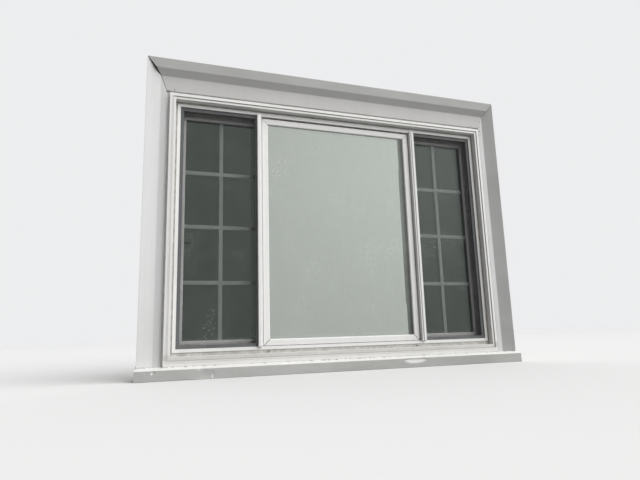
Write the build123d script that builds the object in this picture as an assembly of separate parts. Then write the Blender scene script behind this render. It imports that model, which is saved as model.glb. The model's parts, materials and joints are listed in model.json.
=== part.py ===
from build123d import *
from math import cos, pi, sin
import os

os.makedirs("parts", exist_ok=True)

# Three-lite sliding window with its wood frame and wrapped casing, in millimetres.
# +X points right as seen from outdoors, +Y into the room, +Z up.
# The origin is the middle of the sill's underside, in the plane of the wall.
# The right-hand half is drawn, and the left-hand half is its mirror image.

# White vinyl frame, seen from outdoors
rim_width = 1528.0          # across the inner rim, outer edge to outer edge
rim_height = 1087.0
rim_face = 14.0             # width of the rim's face
recess_width = 8.0          # shadow recess between rim and lip, at head and jambs
lip_step = 12.5             # each of the lip's two steps, at head and jambs
lip_bead = 2.0              # raised line between the two steps
sill_recess = 15.0          # the same three at the sill
sill_lip_step = 17.0
sill_lip_bead = 4.0

# Depths of the vinyl frame, along Y
rim_setout = 2.0            # rim in front of the wall plane
lip_reach = 30.0            # crest of the lip in front of the rim
lip_outer_setback = 1.5
lip_inner_setback = 3.0
recess_depth = 4.0
track_lip = 1.5             # wall between recess and screen track
screen_track_width = 11.0
track_wall = 27.5           # wall between the screen track and the sash track
sash_track_width = 36.0
room_leg = 6.0              # room-side leg that holds the sash in its track
screen_pocket = 8.0         # how far screens stand in jambs and sill
screen_head_pocket = 18.0   # deeper, so that a screen lifts out
sash_pocket = 22.0
sash_head_pocket = 30.0
sash_sill_pocket = 29.0
edge_round = 1.2
vinyl_wall = 2.5

# Mullions
mullion_outer_x = 408.0     # edge next to an end lite
mullion_width = 20.0
mullion_nose = 12.0         # width of the front strip
mullion_reach = 14.0        # front strip in front of the rim
mullion_step = 4.0          # inner strip behind the front strip
mullion_web_setback = 4.0
mullion_foot_rise = 14.0    # height over which its pointed ends slope back to the rim
screen_channel = 14.0       # depth of the channel that takes the screen's stile

# Fixed centre lite
centre_groove = 6.5         # shadow gap round the glazing beads
centre_foot = 1.5           # bottom bead above the frame's inner edge
centre_head_drop = 4.0      # head is this much thicker over the centre lite
bead_width = 28.0
bead_setback = 8.0          # bead behind the rim's face
bead_lip = 6.0              # bead's front to the glass
bead_leg = 4.0
bead_leg_length = 8.0
bead_chamfer = 3.5
bead_joint = 1.0            # open mitre between two beads
seat_setback = 12.0         # floor of the shadow gap behind the beads' front
stop_thickness = 3.0        # room-side stop of the centre glass
stop_height = 21.0
glass_bite = 18.0           # glass edge under the bead
block_length = 100.0
block_clearance = 0.5
block_spacing = 370.0

# Insulating glass
pane = 3.0
pane_gap = 13.0
spacer_height = 7.0
spacer_inset = 3.0          # spacer set in from the glass edge

# End sashes
sash_thickness = 32.0
sash_side_clearance = 4.0   # sash edge to the bottom of the jamb pocket
sash_top_engagement = 19.0
sash_bottom_engagement = 22.0
jamb_stile = 46.0
meeting_stile = 42.0
meeting_setback = 1.0       # meeting stile's glass edge inside the mullion's web
top_rail = 56.0
bottom_rail = 54.0
sash_rabbet = 10.0
sash_leg = 5.0              # room-side leg behind the sash glass
sash_bead_setback = 2.0
sash_bead_slope = 4.0
sash_glass_clearance = 2.0
grid_bar_width = 17.0
grid_bar_thickness = 6.0
grid_rows = 4
pull_height = 7.0
pull_thickness = 3.0
pull_margin = 150.0
pile_width = 6.0
pile_edge = 6.0             # pile strip to the sash's edge
pile_clearance = 0.3

# Interlock of meeting stile and mullion
hook_wall = 1.2
hook_gap = 1.3
hook_reach = 8.0
hook_overlap = 3.0
hook_end_clearance = 1.5

# Rollers and track
track_base_width = 16.0
track_base_thickness = 1.5
track_rail_width = 3.0
track_rail_height = 11.0
track_end_gap = 1.0
wheel_roll_radius = 8.0
wheel_flange = 2.5
wheel_width = 7.0
wheel_groove = 4.0
axle_radius = 1.5
axle_clearance = 0.08
running_clearance = 0.3
housing_length = 44.0
housing_width = 15.0
housing_wall = 2.5
housing_drop = 6.0          # cheeks below the axle
housing_inset = 60.0        # wheel to the sash's edge
channel_clearance = 0.5
channel_height = 28.0

# Hook latch
latch_height = 470.0        # above the rim's lower edge
latch_inset = 26.5          # pivot to the sash's outer edge
hook_plate = 5.0
hook_arm = 36.0
hook_arm_width = 8.0
hook_barb = 6.0
hook_barb_thickness = 5.0
hook_hub_radius = 5.0
mortise_clearance = 0.8
spindle_radius = 3.0
spindle_clearance = 0.1
lever_length = 48.0
lever_width = 11.0
lever_tip_width = 8.0
lever_thickness = 4.5
lever_gap = 0.3
lever_hub_radius = 7.0
escutcheon_width = 15.0
escutcheon_height = 64.0
escutcheon_thickness = 2.5
keeper_thickness = 1.6
keeper_width = 18.0
keeper_margin = 14.0        # plate above and below its slot
keeper_pocket_depth = 9.0

# Insect screens
screen_frame_width = 22.0
screen_thickness = 9.5
screen_play = 1.0
screen_top_engagement = 6.0
screen_groove = 4.0
screen_groove_depth = 4.0
screen_groove_inset = 4.0   # groove to the frame's inner edge
mesh_thickness = 0.8
spline_clearance = 0.2

# Wood frame
wood_gap = 3.0              # vinyl frame to wood jamb
wood_thickness = 19.0
sill_front_height = 42.0    # nose
sill_seat_height = 51.0     # flat seat of the vinyl frame
sill_reach = 67.0           # nose in front of the wall plane
sill_break_gap = 1.5        # slope ends this far in front of the lip
sill_horn = 7.5             # sill beyond the casing's outer edge
shim_depth = 30.0
shim_height = 80.0
shim_slot = 8.0
screw_hole_radius = 2.75
screw_height = 200.0        # lower screw above the rim's lower edge
screw_spacing = 700.0

# Casing and its aluminium wrap
casing_reveal = 12.0        # wood jamb left showing inside the casing
side_flat = 24.0            # flat inner band of the side casings
side_slope = 59.5           # sloping outer band
head_flat = 67.0
head_bevel = 27.0
head_fascia = 47.0
casing_outer_reach = 38.0   # outer edge in front of the wall plane
casing_inner_reach = 14.0
wrap = 0.8
wrap_hem = 14.0
left_mitre_gap = 3.0        # the left mitre of the wrap stands open
right_mitre_gap = 0.8
sealant_width = 8.0
sealant_depth = 7.0
sealant_skirt = 1.5
nail_head_radius = 2.4
nail_head_height = 1.0
nail_radius = 1.2
nail_length = 14.0
nail_flats = 8
nail_row = 3                # nails in the right casing, beside the mitre
nail_pitch = 23.5
nail_side_inset = 8.0       # from the side casing's inner edge
nail_left_inset = 35.0      # head casing's nails, from the same edges
nail_right_inset = 47.0
nail_edge = 6.0             # above the head casing's lower edge

# Weep holes
weep_radius = 2.5
weep_x = 362.0
weep_drop = 8.5             # below the rim's lower edge
weep_slot_width = 12.0      # behind the round hole
weep_slot_height = 4.0

# Levels along Y
y_rim = -rim_setout
y_lip_crest = y_rim - lip_reach
y_lip_outer = y_lip_crest + lip_outer_setback
y_lip_inner = y_lip_crest + lip_inner_setback
y_recess = y_rim + recess_depth
y_screen_near = y_recess + track_lip
y_screen_far = y_screen_near + screen_track_width
y_sash_near = y_screen_far + track_wall
y_sash_far = y_sash_near + sash_track_width
y_back = y_sash_far + room_leg
y_sash_mid = (y_sash_near + y_sash_far) / 2
y_sash_front = y_sash_mid - sash_thickness / 2
y_sash_back = y_sash_mid + sash_thickness / 2
y_bead = y_rim + bead_setback
y_glass = y_bead + bead_lip
unit_thickness = 2 * pane + pane_gap
y_stop = y_glass + unit_thickness
y_stop_back = y_stop + stop_thickness
y_seat = y_bead + seat_setback
y_mullion = y_rim - mullion_reach
y_sash_glass_back = y_sash_back - sash_leg
y_sash_glass = y_sash_glass_back - unit_thickness
y_hook = y_sash_front - hook_gap
y_sash_hook = y_hook - hook_wall - hook_gap
y_screen = (y_screen_near + y_screen_far - screen_thickness) / 2
y_screen_back = y_screen + screen_thickness
y_nose = -sill_reach
y_sill_break = y_lip_outer - sill_break_gap
y_casing = -casing_outer_reach
y_casing_flat = -casing_inner_reach
y_escutcheon = y_sash_back + escutcheon_thickness
y_lever = y_escutcheon + lever_gap

# Levels along Z
z_frame_bottom = sill_seat_height
z_rim = z_frame_bottom + 2 * sill_lip_step + sill_lip_bead + sill_recess
z_rim_top = z_rim + rim_height
z_inner_bottom = z_rim + rim_face
z_inner_top = z_rim_top - rim_face
frame_lip = recess_width + 2 * lip_step + lip_bead
z_frame_top = z_rim_top + frame_lip
z_bead_bottom = z_inner_bottom + centre_foot
z_bead_top = z_inner_top - centre_head_drop - centre_groove
z_centre_bottom = z_bead_bottom + bead_width
z_centre_top = z_bead_top - bead_width
z_sash_bottom = z_inner_bottom - sash_bottom_engagement
z_sash_top = z_inner_top + sash_top_engagement
z_lite_bottom = z_sash_bottom + bottom_rail
z_lite_top = z_sash_top - top_rail
z_channel = z_sash_bottom + channel_height
z_track_floor = z_inner_bottom - sash_sill_pocket
z_axle = z_track_floor + track_rail_height + running_clearance + wheel_roll_radius
z_latch = z_rim + latch_height
z_screen_bottom = z_inner_bottom - screen_pocket
z_screen_top = z_inner_top + screen_top_engagement
z_head_jamb = z_frame_top + wood_gap
z_casing = z_head_jamb + casing_reveal
z_casing_flat = z_casing + head_flat
z_casing_bevel = z_casing_flat + head_bevel
z_casing_top = z_casing_bevel + head_fascia

# Levels along X, on the right
x_rim = rim_width / 2
x_inner = x_rim - rim_face
x_frame = x_rim + frame_lip
x_mullion = mullion_outer_x - mullion_width
x_web = mullion_outer_x - mullion_web_setback
x_bead = x_mullion - centre_groove
x_centre = x_bead - bead_width
x_stop = x_bead - stop_height
x_sash = x_inner + sash_pocket - sash_side_clearance
x_lite = x_sash - jamb_stile
x_meeting_lite = x_web - meeting_setback
x_meeting = x_meeting_lite - meeting_stile
x_hook_tip = x_web - hook_reach
x_latch = x_sash - latch_inset
x_keeper = x_inner + sash_pocket
x_screen = mullion_outer_x - screen_channel + screen_play
x_screen_outer = x_inner + screen_pocket - screen_play
x_jamb = x_frame + wood_gap
x_jamb_outer = x_jamb + wood_thickness
x_casing = x_jamb + casing_reveal
x_casing_flat = x_casing + side_flat
x_casing_outer = x_casing_flat + side_slope
x_sill = x_casing_outer + sill_horn
x_weep = (-weep_x, weep_x)
wheel_x = (x_meeting + housing_inset, x_sash - housing_inset)
screw_z = (z_rim + screw_height, z_rim + screw_height + screw_spacing)
hook_tip_radius = (hook_arm ** 2 + (hook_arm_width / 2 + hook_barb) ** 2) ** 0.5


def face(corners):
    """Flat face through corners given as (a, b) or (a, b, radius)."""
    outline = Polygon(*[corner[:2] for corner in corners], align=None)
    for corner in corners:
        if len(corner) == 3:
            nearest = outline.vertices().sort_by_distance((corner[0], corner[1], 0))[0]
            outline = fillet(nearest, corner[2])
    return outline


def along_x(corners, start, end):
    """Profile in (Y, Z), extruded from x = start to x = end."""
    return extrude(Plane.YZ.offset(start) * face(corners), amount=end - start, dir=(1, 0, 0))


def along_y(corners, start, end):
    """Profile in (X, Z), extruded from y = start to y = end."""
    return extrude(Plane.XZ.offset(-start) * face(corners), amount=end - start, dir=(0, 1, 0))


def along_z(corners, start, end):
    """Profile in (X, Y), extruded from z = start to z = end."""
    return extrude(Plane.XY.offset(start) * face(corners), amount=end - start, dir=(0, 0, 1))


def block(x0, x1, y0, y1, z0, z1):
    """Box between two opposite corners."""
    return Pos(x0, y0, z0) * Box(x1 - x0, y1 - y0, z1 - z0, align=Align.MIN)


def rod_y(x, z, radius, y0, y1):
    """Round rod parallel to Y."""
    rod = Cylinder(radius, y1 - y0, align=(Align.CENTER, Align.CENTER, Align.MIN))
    return Pos(x, y0, z) * Rot(-90, 0, 0) * rod


def prism_y(x, z, radius, y0, y1):
    """Small rod along Y, drawn with a few flats."""
    turns = [2 * pi * (flat + 0.5) / nail_flats for flat in range(nail_flats)]
    return along_y([(x + radius * cos(turn), z + radius * sin(turn)) for turn in turns], y0, y1)


def rod_x(y, z, radius, x0, x1):
    """Round rod parallel to X."""
    rod = Cylinder(radius, x1 - x0, align=(Align.CENTER, Align.CENTER, Align.MIN))
    return Pos(x0, y, z) * Rot(0, 90, 0) * rod


def to_left(shape):
    """Mirror image of a right-hand piece, or of each piece in a group."""
    if isinstance(shape, list):
        return [to_left(piece) for piece in shape]
    return mirror(shape, about=Plane.YZ)


def same(shape):
    """Right-hand piece as it is."""
    return shape


def trim(shape, corners):
    """Keep what lies inside an outline in (X, Z), as a mitre saw would."""
    return shape & along_y(corners, 2 * y_nose, 2 * y_back)


def offset_line(points, depth):
    """Open line moved to its left by depth, with sharp corners."""
    normals = []
    for (a0, b0), (a1, b1) in zip(points, points[1:]):
        length = ((a1 - a0) ** 2 + (b1 - b0) ** 2) ** 0.5
        normals.append(((b0 - b1) / length, (a1 - a0) / length))
    normals = normals[:1] + normals + normals[-1:]
    moved = []
    for (a, b), (na, nb), (ma, mb) in zip(points, normals, normals[1:]):
        scale = depth / (1 + na * ma + nb * mb)
        moved.append((a + scale * (na + ma), b + scale * (nb + mb)))
    return moved


def mitred_bars(profile, x0, x1, z0, z1, joint):
    """Four mitred bars round a rectangle: left, right, bottom and top.

    The profile is in (d, y), with d measured outward from the rectangle.
    """
    low = min(corner[0] for corner in profile)
    high = max(corner[0] for corner in profile)
    gap = joint / 2
    right = trim(along_z([(x1 + c[0], *c[1:]) for c in profile], z0 - high, z1 + high),
                 [(x1 + low, z0 - low + gap), (x1 + high, z0 - high + gap),
                  (x1 + high, z1 + high - gap), (x1 + low, z1 + low - gap)])
    left = trim(along_z([(x0 - c[0], *c[1:]) for c in profile], z0 - high, z1 + high),
                [(x0 - low, z0 - low + gap), (x0 - high, z0 - high + gap),
                 (x0 - high, z1 + high - gap), (x0 - low, z1 + low - gap)])
    top = trim(along_x([(c[1], z1 + c[0], *c[2:]) for c in profile], x0 - high, x1 + high),
               [(x0 - low + gap, z1 + low), (x0 - high + gap, z1 + high),
                (x1 + high - gap, z1 + high), (x1 + low - gap, z1 + low)])
    bottom = trim(along_x([(c[1], z0 - c[0], *c[2:]) for c in profile], x0 - high, x1 + high),
                  [(x0 - low + gap, z0 - low), (x0 - high + gap, z0 - high),
                   (x1 + high - gap, z0 - high), (x1 + low - gap, z0 - low)])
    return left, right, bottom, top


def ring(x0, x1, z0, z1, d0, d1, y0, y1):
    """Flat rectangular ring between two distances outward from a rectangle."""
    outer = block(x0 - d1, x1 + d1, y0, y1, z0 - d1, z1 + d1)
    return outer - block(x0 - d0, x1 + d0, y0, y1, z0 - d0, z1 + d0)


# Vinyl frame

def frame_breaks(recess, step, bead):
    """Distances outward from the rim's inner edge at which the frame's section steps."""
    lip = rim_face + recess
    return [0.0, rim_face, lip, lip + step, lip + step + bead, lip + 2 * step + bead]


side_breaks = frame_breaks(recess_width, lip_step, lip_bead)
sill_breaks = frame_breaks(sill_recess, sill_lip_step, sill_lip_bead)
top_mitre = [(x_inner + d, z_inner_top + d) for d in side_breaks]
bottom_mitre = [(x_inner + a, z_inner_bottom - b) for a, b in zip(side_breaks, sill_breaks)]


def mirrored(points):
    """The same outline points on the left, in reverse order."""
    return [(-x, z) for x, z in reversed(points)]


def frame_profile(breaks, screen_depth, sash_depth):
    """Section of a vinyl frame member in (d, y), with its two tracks."""
    inner, rim, recess, step, bead, outer = breaks
    return [
        (inner, y_rim, edge_round), (rim, y_rim, edge_round), (rim, y_recess), (recess, y_recess),
        (recess, y_lip_inner, edge_round), (step, y_lip_inner), (step, y_lip_crest), (bead, y_lip_crest),
        (bead, y_lip_outer), (outer, y_lip_outer, edge_round), (outer, y_back),
        (inner, y_back, edge_round), (inner, y_sash_far), (sash_depth, y_sash_far),
        (sash_depth, y_sash_near), (inner, y_sash_near), (inner, y_screen_far),
        (screen_depth, y_screen_far), (screen_depth, y_screen_near), (inner, y_screen_near),
    ]


def frame_chambers(breaks, screen_depth, sash_depth):
    """Hollow chambers of the same section, as boxes (d0, d1, y0, y1)."""
    outer = breaks[-1] - vinyl_wall
    lip = breaks[2] + vinyl_wall
    screen = max(screen_depth, rim_face) + vinyl_wall
    return [
        (lip, outer, y_lip_inner + vinyl_wall, y_recess - vinyl_wall),
        (screen, outer, y_screen_near, y_screen_far),
        (vinyl_wall, outer, y_screen_far + vinyl_wall, y_sash_near - vinyl_wall),
        (sash_depth + vinyl_wall, outer, y_sash_near, y_back - vinyl_wall),
    ]


def hollow_z(member, chambers, x0, z0, z1):
    """Member along Z with its chambers taken out."""
    for d0, d1, y0, y1 in chambers:
        member -= block(x0 + d0, x0 + d1, y0, y1, z0, z1)
    return member


def keeper_drop(distance):
    """How far below the pivot the hook's tip crosses an edge at this distance."""
    return (hook_tip_radius ** 2 - distance ** 2) ** 0.5 + 2 * mortise_clearance


def keeper_top():
    """Top of the keeper's slot above the pivot: the arm, not the barb."""
    return hook_arm_width / 2 + mortise_clearance


def frame_jamb():
    """Right jamb, mitred at both ends, with its screw holes and latch pocket."""
    profile = frame_profile(side_breaks, screen_pocket, sash_pocket)
    jamb = along_z([(x_inner + c[0], *c[1:]) for c in profile], z_frame_bottom, z_frame_top)
    chambers = frame_chambers(side_breaks, screen_pocket, sash_pocket)
    jamb = hollow_z(jamb, chambers, x_inner, z_frame_bottom, z_frame_top)
    jamb = trim(jamb, bottom_mitre + list(reversed(top_mitre)))
    for z in screw_z:
        jamb -= rod_x(y_sash_mid, z, screw_hole_radius, x_inner, x_jamb_outer)
    half = hook_plate / 2 + 2 * mortise_clearance
    return jamb - block(x_keeper, x_keeper + keeper_pocket_depth, y_sash_mid - half, y_sash_mid + half,
                        z_latch - keeper_drop(x_keeper - keeper_thickness - x_latch),
                        z_latch + hook_arm_width + hook_barb)


def mullion_seats():
    """Room that the two mullions take between sill and head, behind the shadow gap."""
    right = block(x_stop, x_mullion, y_seat, y_stop_back, z_inner_bottom, z_inner_top)
    return right + to_left(right)


def frame_head():
    """Head, with the thicker part and the stop over the centre lite."""
    profile = frame_profile(side_breaks, screen_head_pocket, sash_head_pocket)
    head = along_x([(c[1], z_inner_top + c[0], *c[2:]) for c in profile], -x_frame, x_frame)
    for d0, d1, y0, y1 in frame_chambers(side_breaks, screen_head_pocket, sash_head_pocket):
        head -= block(-x_frame, x_frame, y0, y1, z_inner_top + d0, z_inner_top + d1)
    head = trim(head, mirrored(top_mitre) + top_mitre)
    z_drop = z_inner_top - centre_head_drop
    drop = along_x([(y_rim, z_inner_top), (y_rim, z_drop), (y_seat, z_drop), (y_seat, z_bead_top),
                    (y_stop, z_bead_top), (y_stop, z_bead_top - stop_height),
                    (y_stop_back, z_bead_top - stop_height), (y_stop_back, z_inner_top)],
                   -x_mullion, x_mullion)
    return head + (drop - mullion_seats())


def frame_sill():
    """Sill, with its two tracks, the centre lite's seat and two weep holes."""
    profile = frame_profile(sill_breaks, screen_pocket, sash_sill_pocket)
    sill = along_x([(c[1], z_inner_bottom - c[0], *c[2:]) for c in profile], -x_frame, x_frame)
    for d0, d1, y0, y1 in frame_chambers(sill_breaks, screen_pocket, sash_sill_pocket):
        sill -= block(-x_frame, x_frame, y0, y1, z_inner_bottom - d1, z_inner_bottom - d0)
    sill = trim(sill, mirrored(bottom_mitre) + bottom_mitre)
    seat = along_x([(y_seat, z_inner_bottom), (y_seat, z_bead_bottom), (y_stop, z_bead_bottom),
                    (y_stop, z_bead_bottom + stop_height), (y_stop_back, z_bead_bottom + stop_height),
                    (y_stop_back, z_inner_bottom)], -x_mullion, x_mullion)
    sill += seat - mullion_seats()
    for x in x_weep:
        z = z_rim - weep_drop
        sill -= rod_y(x, z, weep_radius, y_recess - vinyl_wall, y_screen_near)
        sill -= block(x - weep_slot_width / 2, x + weep_slot_width / 2, y_screen_near, y_sash_near,
                      z - weep_slot_height / 2, z + weep_slot_height / 2)
    return sill


def mullion_ends(piece):
    """Mullion with both ends of its nose pointed, and sloping back to the rim's face."""
    middle = mullion_outer_x - mullion_width / 2
    z_low = z_inner_bottom - mullion_width / 2
    z_high = z_inner_top + mullion_width / 2
    sides = [(x_stop, z_inner_bottom), (x_mullion, z_inner_bottom), (middle, z_low),
             (mullion_outer_x, z_inner_bottom), (mullion_outer_x, z_inner_top), (middle, z_high),
             (x_mullion, z_inner_top), (x_stop, z_inner_top)]
    piece = trim(piece, sides)
    for z, rise in ((z_low, mullion_foot_rise), (z_high, -mullion_foot_rise)):
        piece -= along_x([(y_rim, z), (y_mullion, z + rise), (y_mullion, z)], x_mullion, mullion_outer_x)
    return piece


def mullion():
    """Right mullion: body between sill and head, nose over the rim, hook at the back."""
    x_nose = mullion_outer_x - mullion_nose
    x_channel = mullion_outer_x - screen_channel
    y_step = y_mullion + mullion_step
    front = [(x_mullion, y_step, edge_round), (x_nose, y_step), (x_nose, y_mullion, edge_round / 2),
             (mullion_outer_x, y_mullion, edge_round)]
    body = along_z(front + [
        (mullion_outer_x, y_screen_near), (x_channel, y_screen_near), (x_channel, y_screen_far),
        (x_web, y_screen_far), (x_web, y_stop_back), (x_stop, y_stop_back), (x_stop, y_stop),
        (x_bead, y_stop), (x_bead, y_seat), (x_mullion, y_seat)], z_inner_bottom, z_inner_top)
    nose = along_z(front + [(mullion_outer_x, y_rim), (x_mullion, y_rim)], z_rim, z_rim_top)
    hook = along_z([(x_web - hook_wall, y_stop_back), (x_web, y_stop_back), (x_web, y_hook),
                    (x_hook_tip, y_hook), (x_hook_tip, y_hook - hook_wall),
                    (x_web - hook_wall, y_hook - hook_wall)], z_inner_bottom, z_inner_top)
    inside = 2 * hook_wall
    front_chamber = block(x_mullion + inside, mullion_outer_x - inside, y_step + inside,
                          y_screen_near - inside, z_inner_bottom, z_inner_top)
    rear_chamber = block(x_bead + inside, x_web - inside, y_seat + inside, y_stop_back - inside,
                         z_inner_bottom, z_inner_top)
    return mullion_ends(body + nose) + hook - front_chamber - rear_chamber


# Fixed centre lite

def centre_pane(y):
    """One pane of the centre lite."""
    half = x_centre + glass_bite
    return block(-half, half, y, y + pane, z_centre_bottom - glass_bite, z_centre_top + glass_bite)


def centre_spacer():
    """Spacer bar round the centre unit."""
    outer = glass_bite - spacer_inset
    return ring(-x_centre, x_centre, z_centre_bottom, z_centre_top,
                outer - spacer_height, outer, y_glass + pane, y_glass + pane + pane_gap)


def centre_beads():
    """Left, right, bottom and top glazing beads, each with a leg that clips beside the glass."""
    y_leg = y_glass + bead_leg_length
    profile = [(0.0, y_glass), (0.0, y_bead + bead_chamfer), (bead_chamfer, y_bead),
               (bead_width, y_bead, edge_round), (bead_width, y_leg), (bead_width - bead_leg, y_leg),
               (bead_width - bead_leg, y_glass)]
    return mitred_bars(profile, -x_centre, x_centre, z_centre_bottom, z_centre_top, bead_joint)


def setting_blocks():
    """Two blocks that carry the centre glass, cut out over the bottom bead's leg."""
    blocks = []
    y_step = y_glass + bead_leg_length + block_clearance
    z_step = z_bead_bottom + bead_leg + block_clearance
    for x in (-block_spacing / 2, block_spacing / 2):
        blocks.append(along_x([(y_step, z_bead_bottom), (y_stop, z_bead_bottom),
                               (y_stop, z_centre_bottom - glass_bite),
                               (y_glass, z_centre_bottom - glass_bite), (y_glass, z_step),
                               (y_step, z_step)], x - block_length / 2, x + block_length / 2))
    return blocks


# End sashes

def sash_frame():
    """Right sash frame, welded in one piece, with roller channel, latch mortise and pull."""
    pocket = sash_rabbet + sash_glass_clearance
    frame = block(x_meeting, x_sash, y_sash_front, y_sash_back, z_sash_bottom, z_sash_top)
    frame -= block(x_meeting_lite, x_lite, y_sash_front, y_sash_back, z_lite_bottom, z_lite_top)
    frame -= block(x_meeting_lite - pocket, x_lite + pocket, y_sash_front, y_sash_glass_back,
                   z_lite_bottom - pocket, z_lite_top + pocket)
    y0 = y_sash_front + vinyl_wall
    y1 = y_sash_back - vinyl_wall
    inset = pocket + vinyl_wall
    frame -= block(x_lite + inset, x_sash - vinyl_wall, y0, y1, z_lite_bottom, z_lite_top)
    frame -= block(x_meeting + vinyl_wall, x_meeting_lite - inset, y0, y1, z_lite_bottom, z_lite_top)
    frame -= block(x_meeting_lite, x_lite, y0, y1, z_lite_top + inset, z_sash_top - vinyl_wall)
    frame -= block(x_meeting_lite, x_lite, y0, y1, z_channel + vinyl_wall, z_lite_bottom - inset)
    half = housing_width / 2 + channel_clearance
    frame -= block(x_meeting, x_sash, y_sash_mid - half, y_sash_mid + half, z_sash_bottom, z_channel)
    return frame - latch_mortise() + sash_hook() + sash_pull()


def latch_mortise():
    """Slot in the sash's edge for the hook, room round its hub, and the spindle's hole."""
    half = hook_plate / 2 + 2 * mortise_clearance
    edge = x_sash - vinyl_wall
    slot = block(edge, x_sash, y_sash_mid - half, y_sash_mid + half,
                 z_latch - keeper_drop(edge - x_latch), z_latch + keeper_top() + mortise_clearance)
    hub = rod_y(x_latch, z_latch, hook_hub_radius + mortise_clearance, y_sash_mid - half, y_sash_mid + half)
    hole = rod_y(x_latch, z_latch, spindle_radius + spindle_clearance, y_sash_mid, y_sash_back)
    return slot + hub + hole


def sash_hook():
    """Interlock hook on the meeting stile."""
    x_leg = x_hook_tip - hook_gap
    return along_z([(x_leg - hook_wall, y_sash_front), (x_leg, y_sash_front), (x_leg, y_sash_hook),
                    (x_hook_tip + hook_overlap, y_sash_hook),
                    (x_hook_tip + hook_overlap, y_sash_hook - hook_wall),
                    (x_leg - hook_wall, y_sash_hook - hook_wall)],
                   z_inner_bottom + hook_end_clearance, z_inner_top - hook_end_clearance)


def sash_pull():
    """Pull lip along the meeting stile, on the room side."""
    return block(x_meeting, x_meeting + pull_thickness, y_sash_back, y_sash_back + pull_height,
                 z_lite_bottom + pull_margin, z_lite_top - pull_margin)


def sash_pane(y):
    """One pane of a sash."""
    return block(x_meeting_lite - sash_rabbet, x_lite + sash_rabbet, y, y + pane,
                 z_lite_bottom - sash_rabbet, z_lite_top + sash_rabbet)


def sash_spacer():
    """Spacer bar round a sash's unit."""
    outer = sash_rabbet - spacer_inset
    return ring(x_meeting_lite, x_lite, z_lite_bottom, z_lite_top,
                outer - spacer_height, outer, y_sash_glass + pane, y_sash_glass + pane + pane_gap)


def sash_grid():
    """Flat grid between the panes: one upright and three cross bars."""
    y0 = y_sash_glass + (unit_thickness - grid_bar_thickness) / 2
    y1 = y0 + grid_bar_thickness
    half = grid_bar_width / 2
    x_mid = (x_meeting_lite + x_lite) / 2
    grid = block(x_mid - half, x_mid + half, y0, y1, z_lite_bottom, z_lite_top)
    for row in range(1, grid_rows):
        z = z_lite_bottom + (z_lite_top - z_lite_bottom) * row / grid_rows
        grid += block(x_meeting_lite, x_lite, y0, y1, z - half, z + half)
    return grid


def sash_beads():
    """Four mitred glazing beads on the outdoor side of a sash."""
    front = y_sash_front + sash_bead_setback
    depth = sash_rabbet + sash_glass_clearance
    profile = [(0.0, y_sash_glass), (0.0, front + sash_bead_slope), (sash_bead_slope, front),
               (depth, front), (depth, y_sash_glass)]
    return list(mitred_bars(profile, x_meeting_lite, x_lite, z_lite_bottom, z_lite_top, bead_joint))


def pile_strips():
    """Pile weatherstrips: on the outdoor face of both rails, and on the jamb stile's edge."""
    y0 = y_sash_near + pile_clearance
    x0 = x_meeting + pile_edge
    x1 = x_sash - pile_edge
    z0 = z_sash_bottom + pile_edge
    z1 = z_sash_top - pile_edge
    return [
        block(x0, x1, y0, y_sash_front, z1 - pile_width, z1),
        block(x0, x1, y0, y_sash_front, z0, z0 + pile_width),
        block(x_sash, x_keeper - pile_clearance, y_sash_front, y_sash_front + pile_width,
              z_inner_bottom, z_inner_top),
    ]


# Rollers

def roller_housings():
    """Two clips in the bottom rail's channel, each with its axle."""
    housings = []
    y0 = y_sash_mid - housing_width / 2
    y1 = y_sash_mid + housing_width / 2
    for x in wheel_x:
        clip = block(x - housing_length / 2, x + housing_length / 2, y0, y1,
                     z_axle - housing_drop, z_channel)
        clip -= block(x - housing_length / 2, x + housing_length / 2, y0 + housing_wall,
                      y1 - housing_wall, z_axle - housing_drop, z_channel - housing_wall)
        housings.append(clip + rod_y(x, z_axle, axle_radius, y0, y1))
    return housings


def roller_wheel(x):
    """Wheel with two flanges that guide it along the track's rail."""
    radius = wheel_roll_radius + wheel_flange
    half = wheel_width / 2
    groove = wheel_groove / 2
    bore = axle_radius + axle_clearance
    outline = face([(bore, -half), (radius, -half), (radius, -groove), (wheel_roll_radius, -groove),
                    (wheel_roll_radius, groove), (radius, groove), (radius, half), (bore, half)])
    wheel = revolve(outline, axis=Axis.Y)
    return Pos(x, y_sash_mid, z_axle) * wheel


def roller_track():
    """Aluminium track along the sill, with one rail for both sashes."""
    half_base = track_base_width / 2
    half_rail = track_rail_width / 2
    z_base = z_track_floor + track_base_thickness
    z_top = z_track_floor + track_rail_height
    end = x_keeper - track_end_gap
    return along_x([(y_sash_mid - half_base, z_track_floor), (y_sash_mid + half_base, z_track_floor),
                    (y_sash_mid + half_base, z_base), (y_sash_mid + half_rail, z_base),
                    (y_sash_mid + half_rail, z_top, edge_round), (y_sash_mid - half_rail, z_top, edge_round),
                    (y_sash_mid - half_rail, z_base), (y_sash_mid - half_base, z_base)], -end, end)


# Latch

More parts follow.
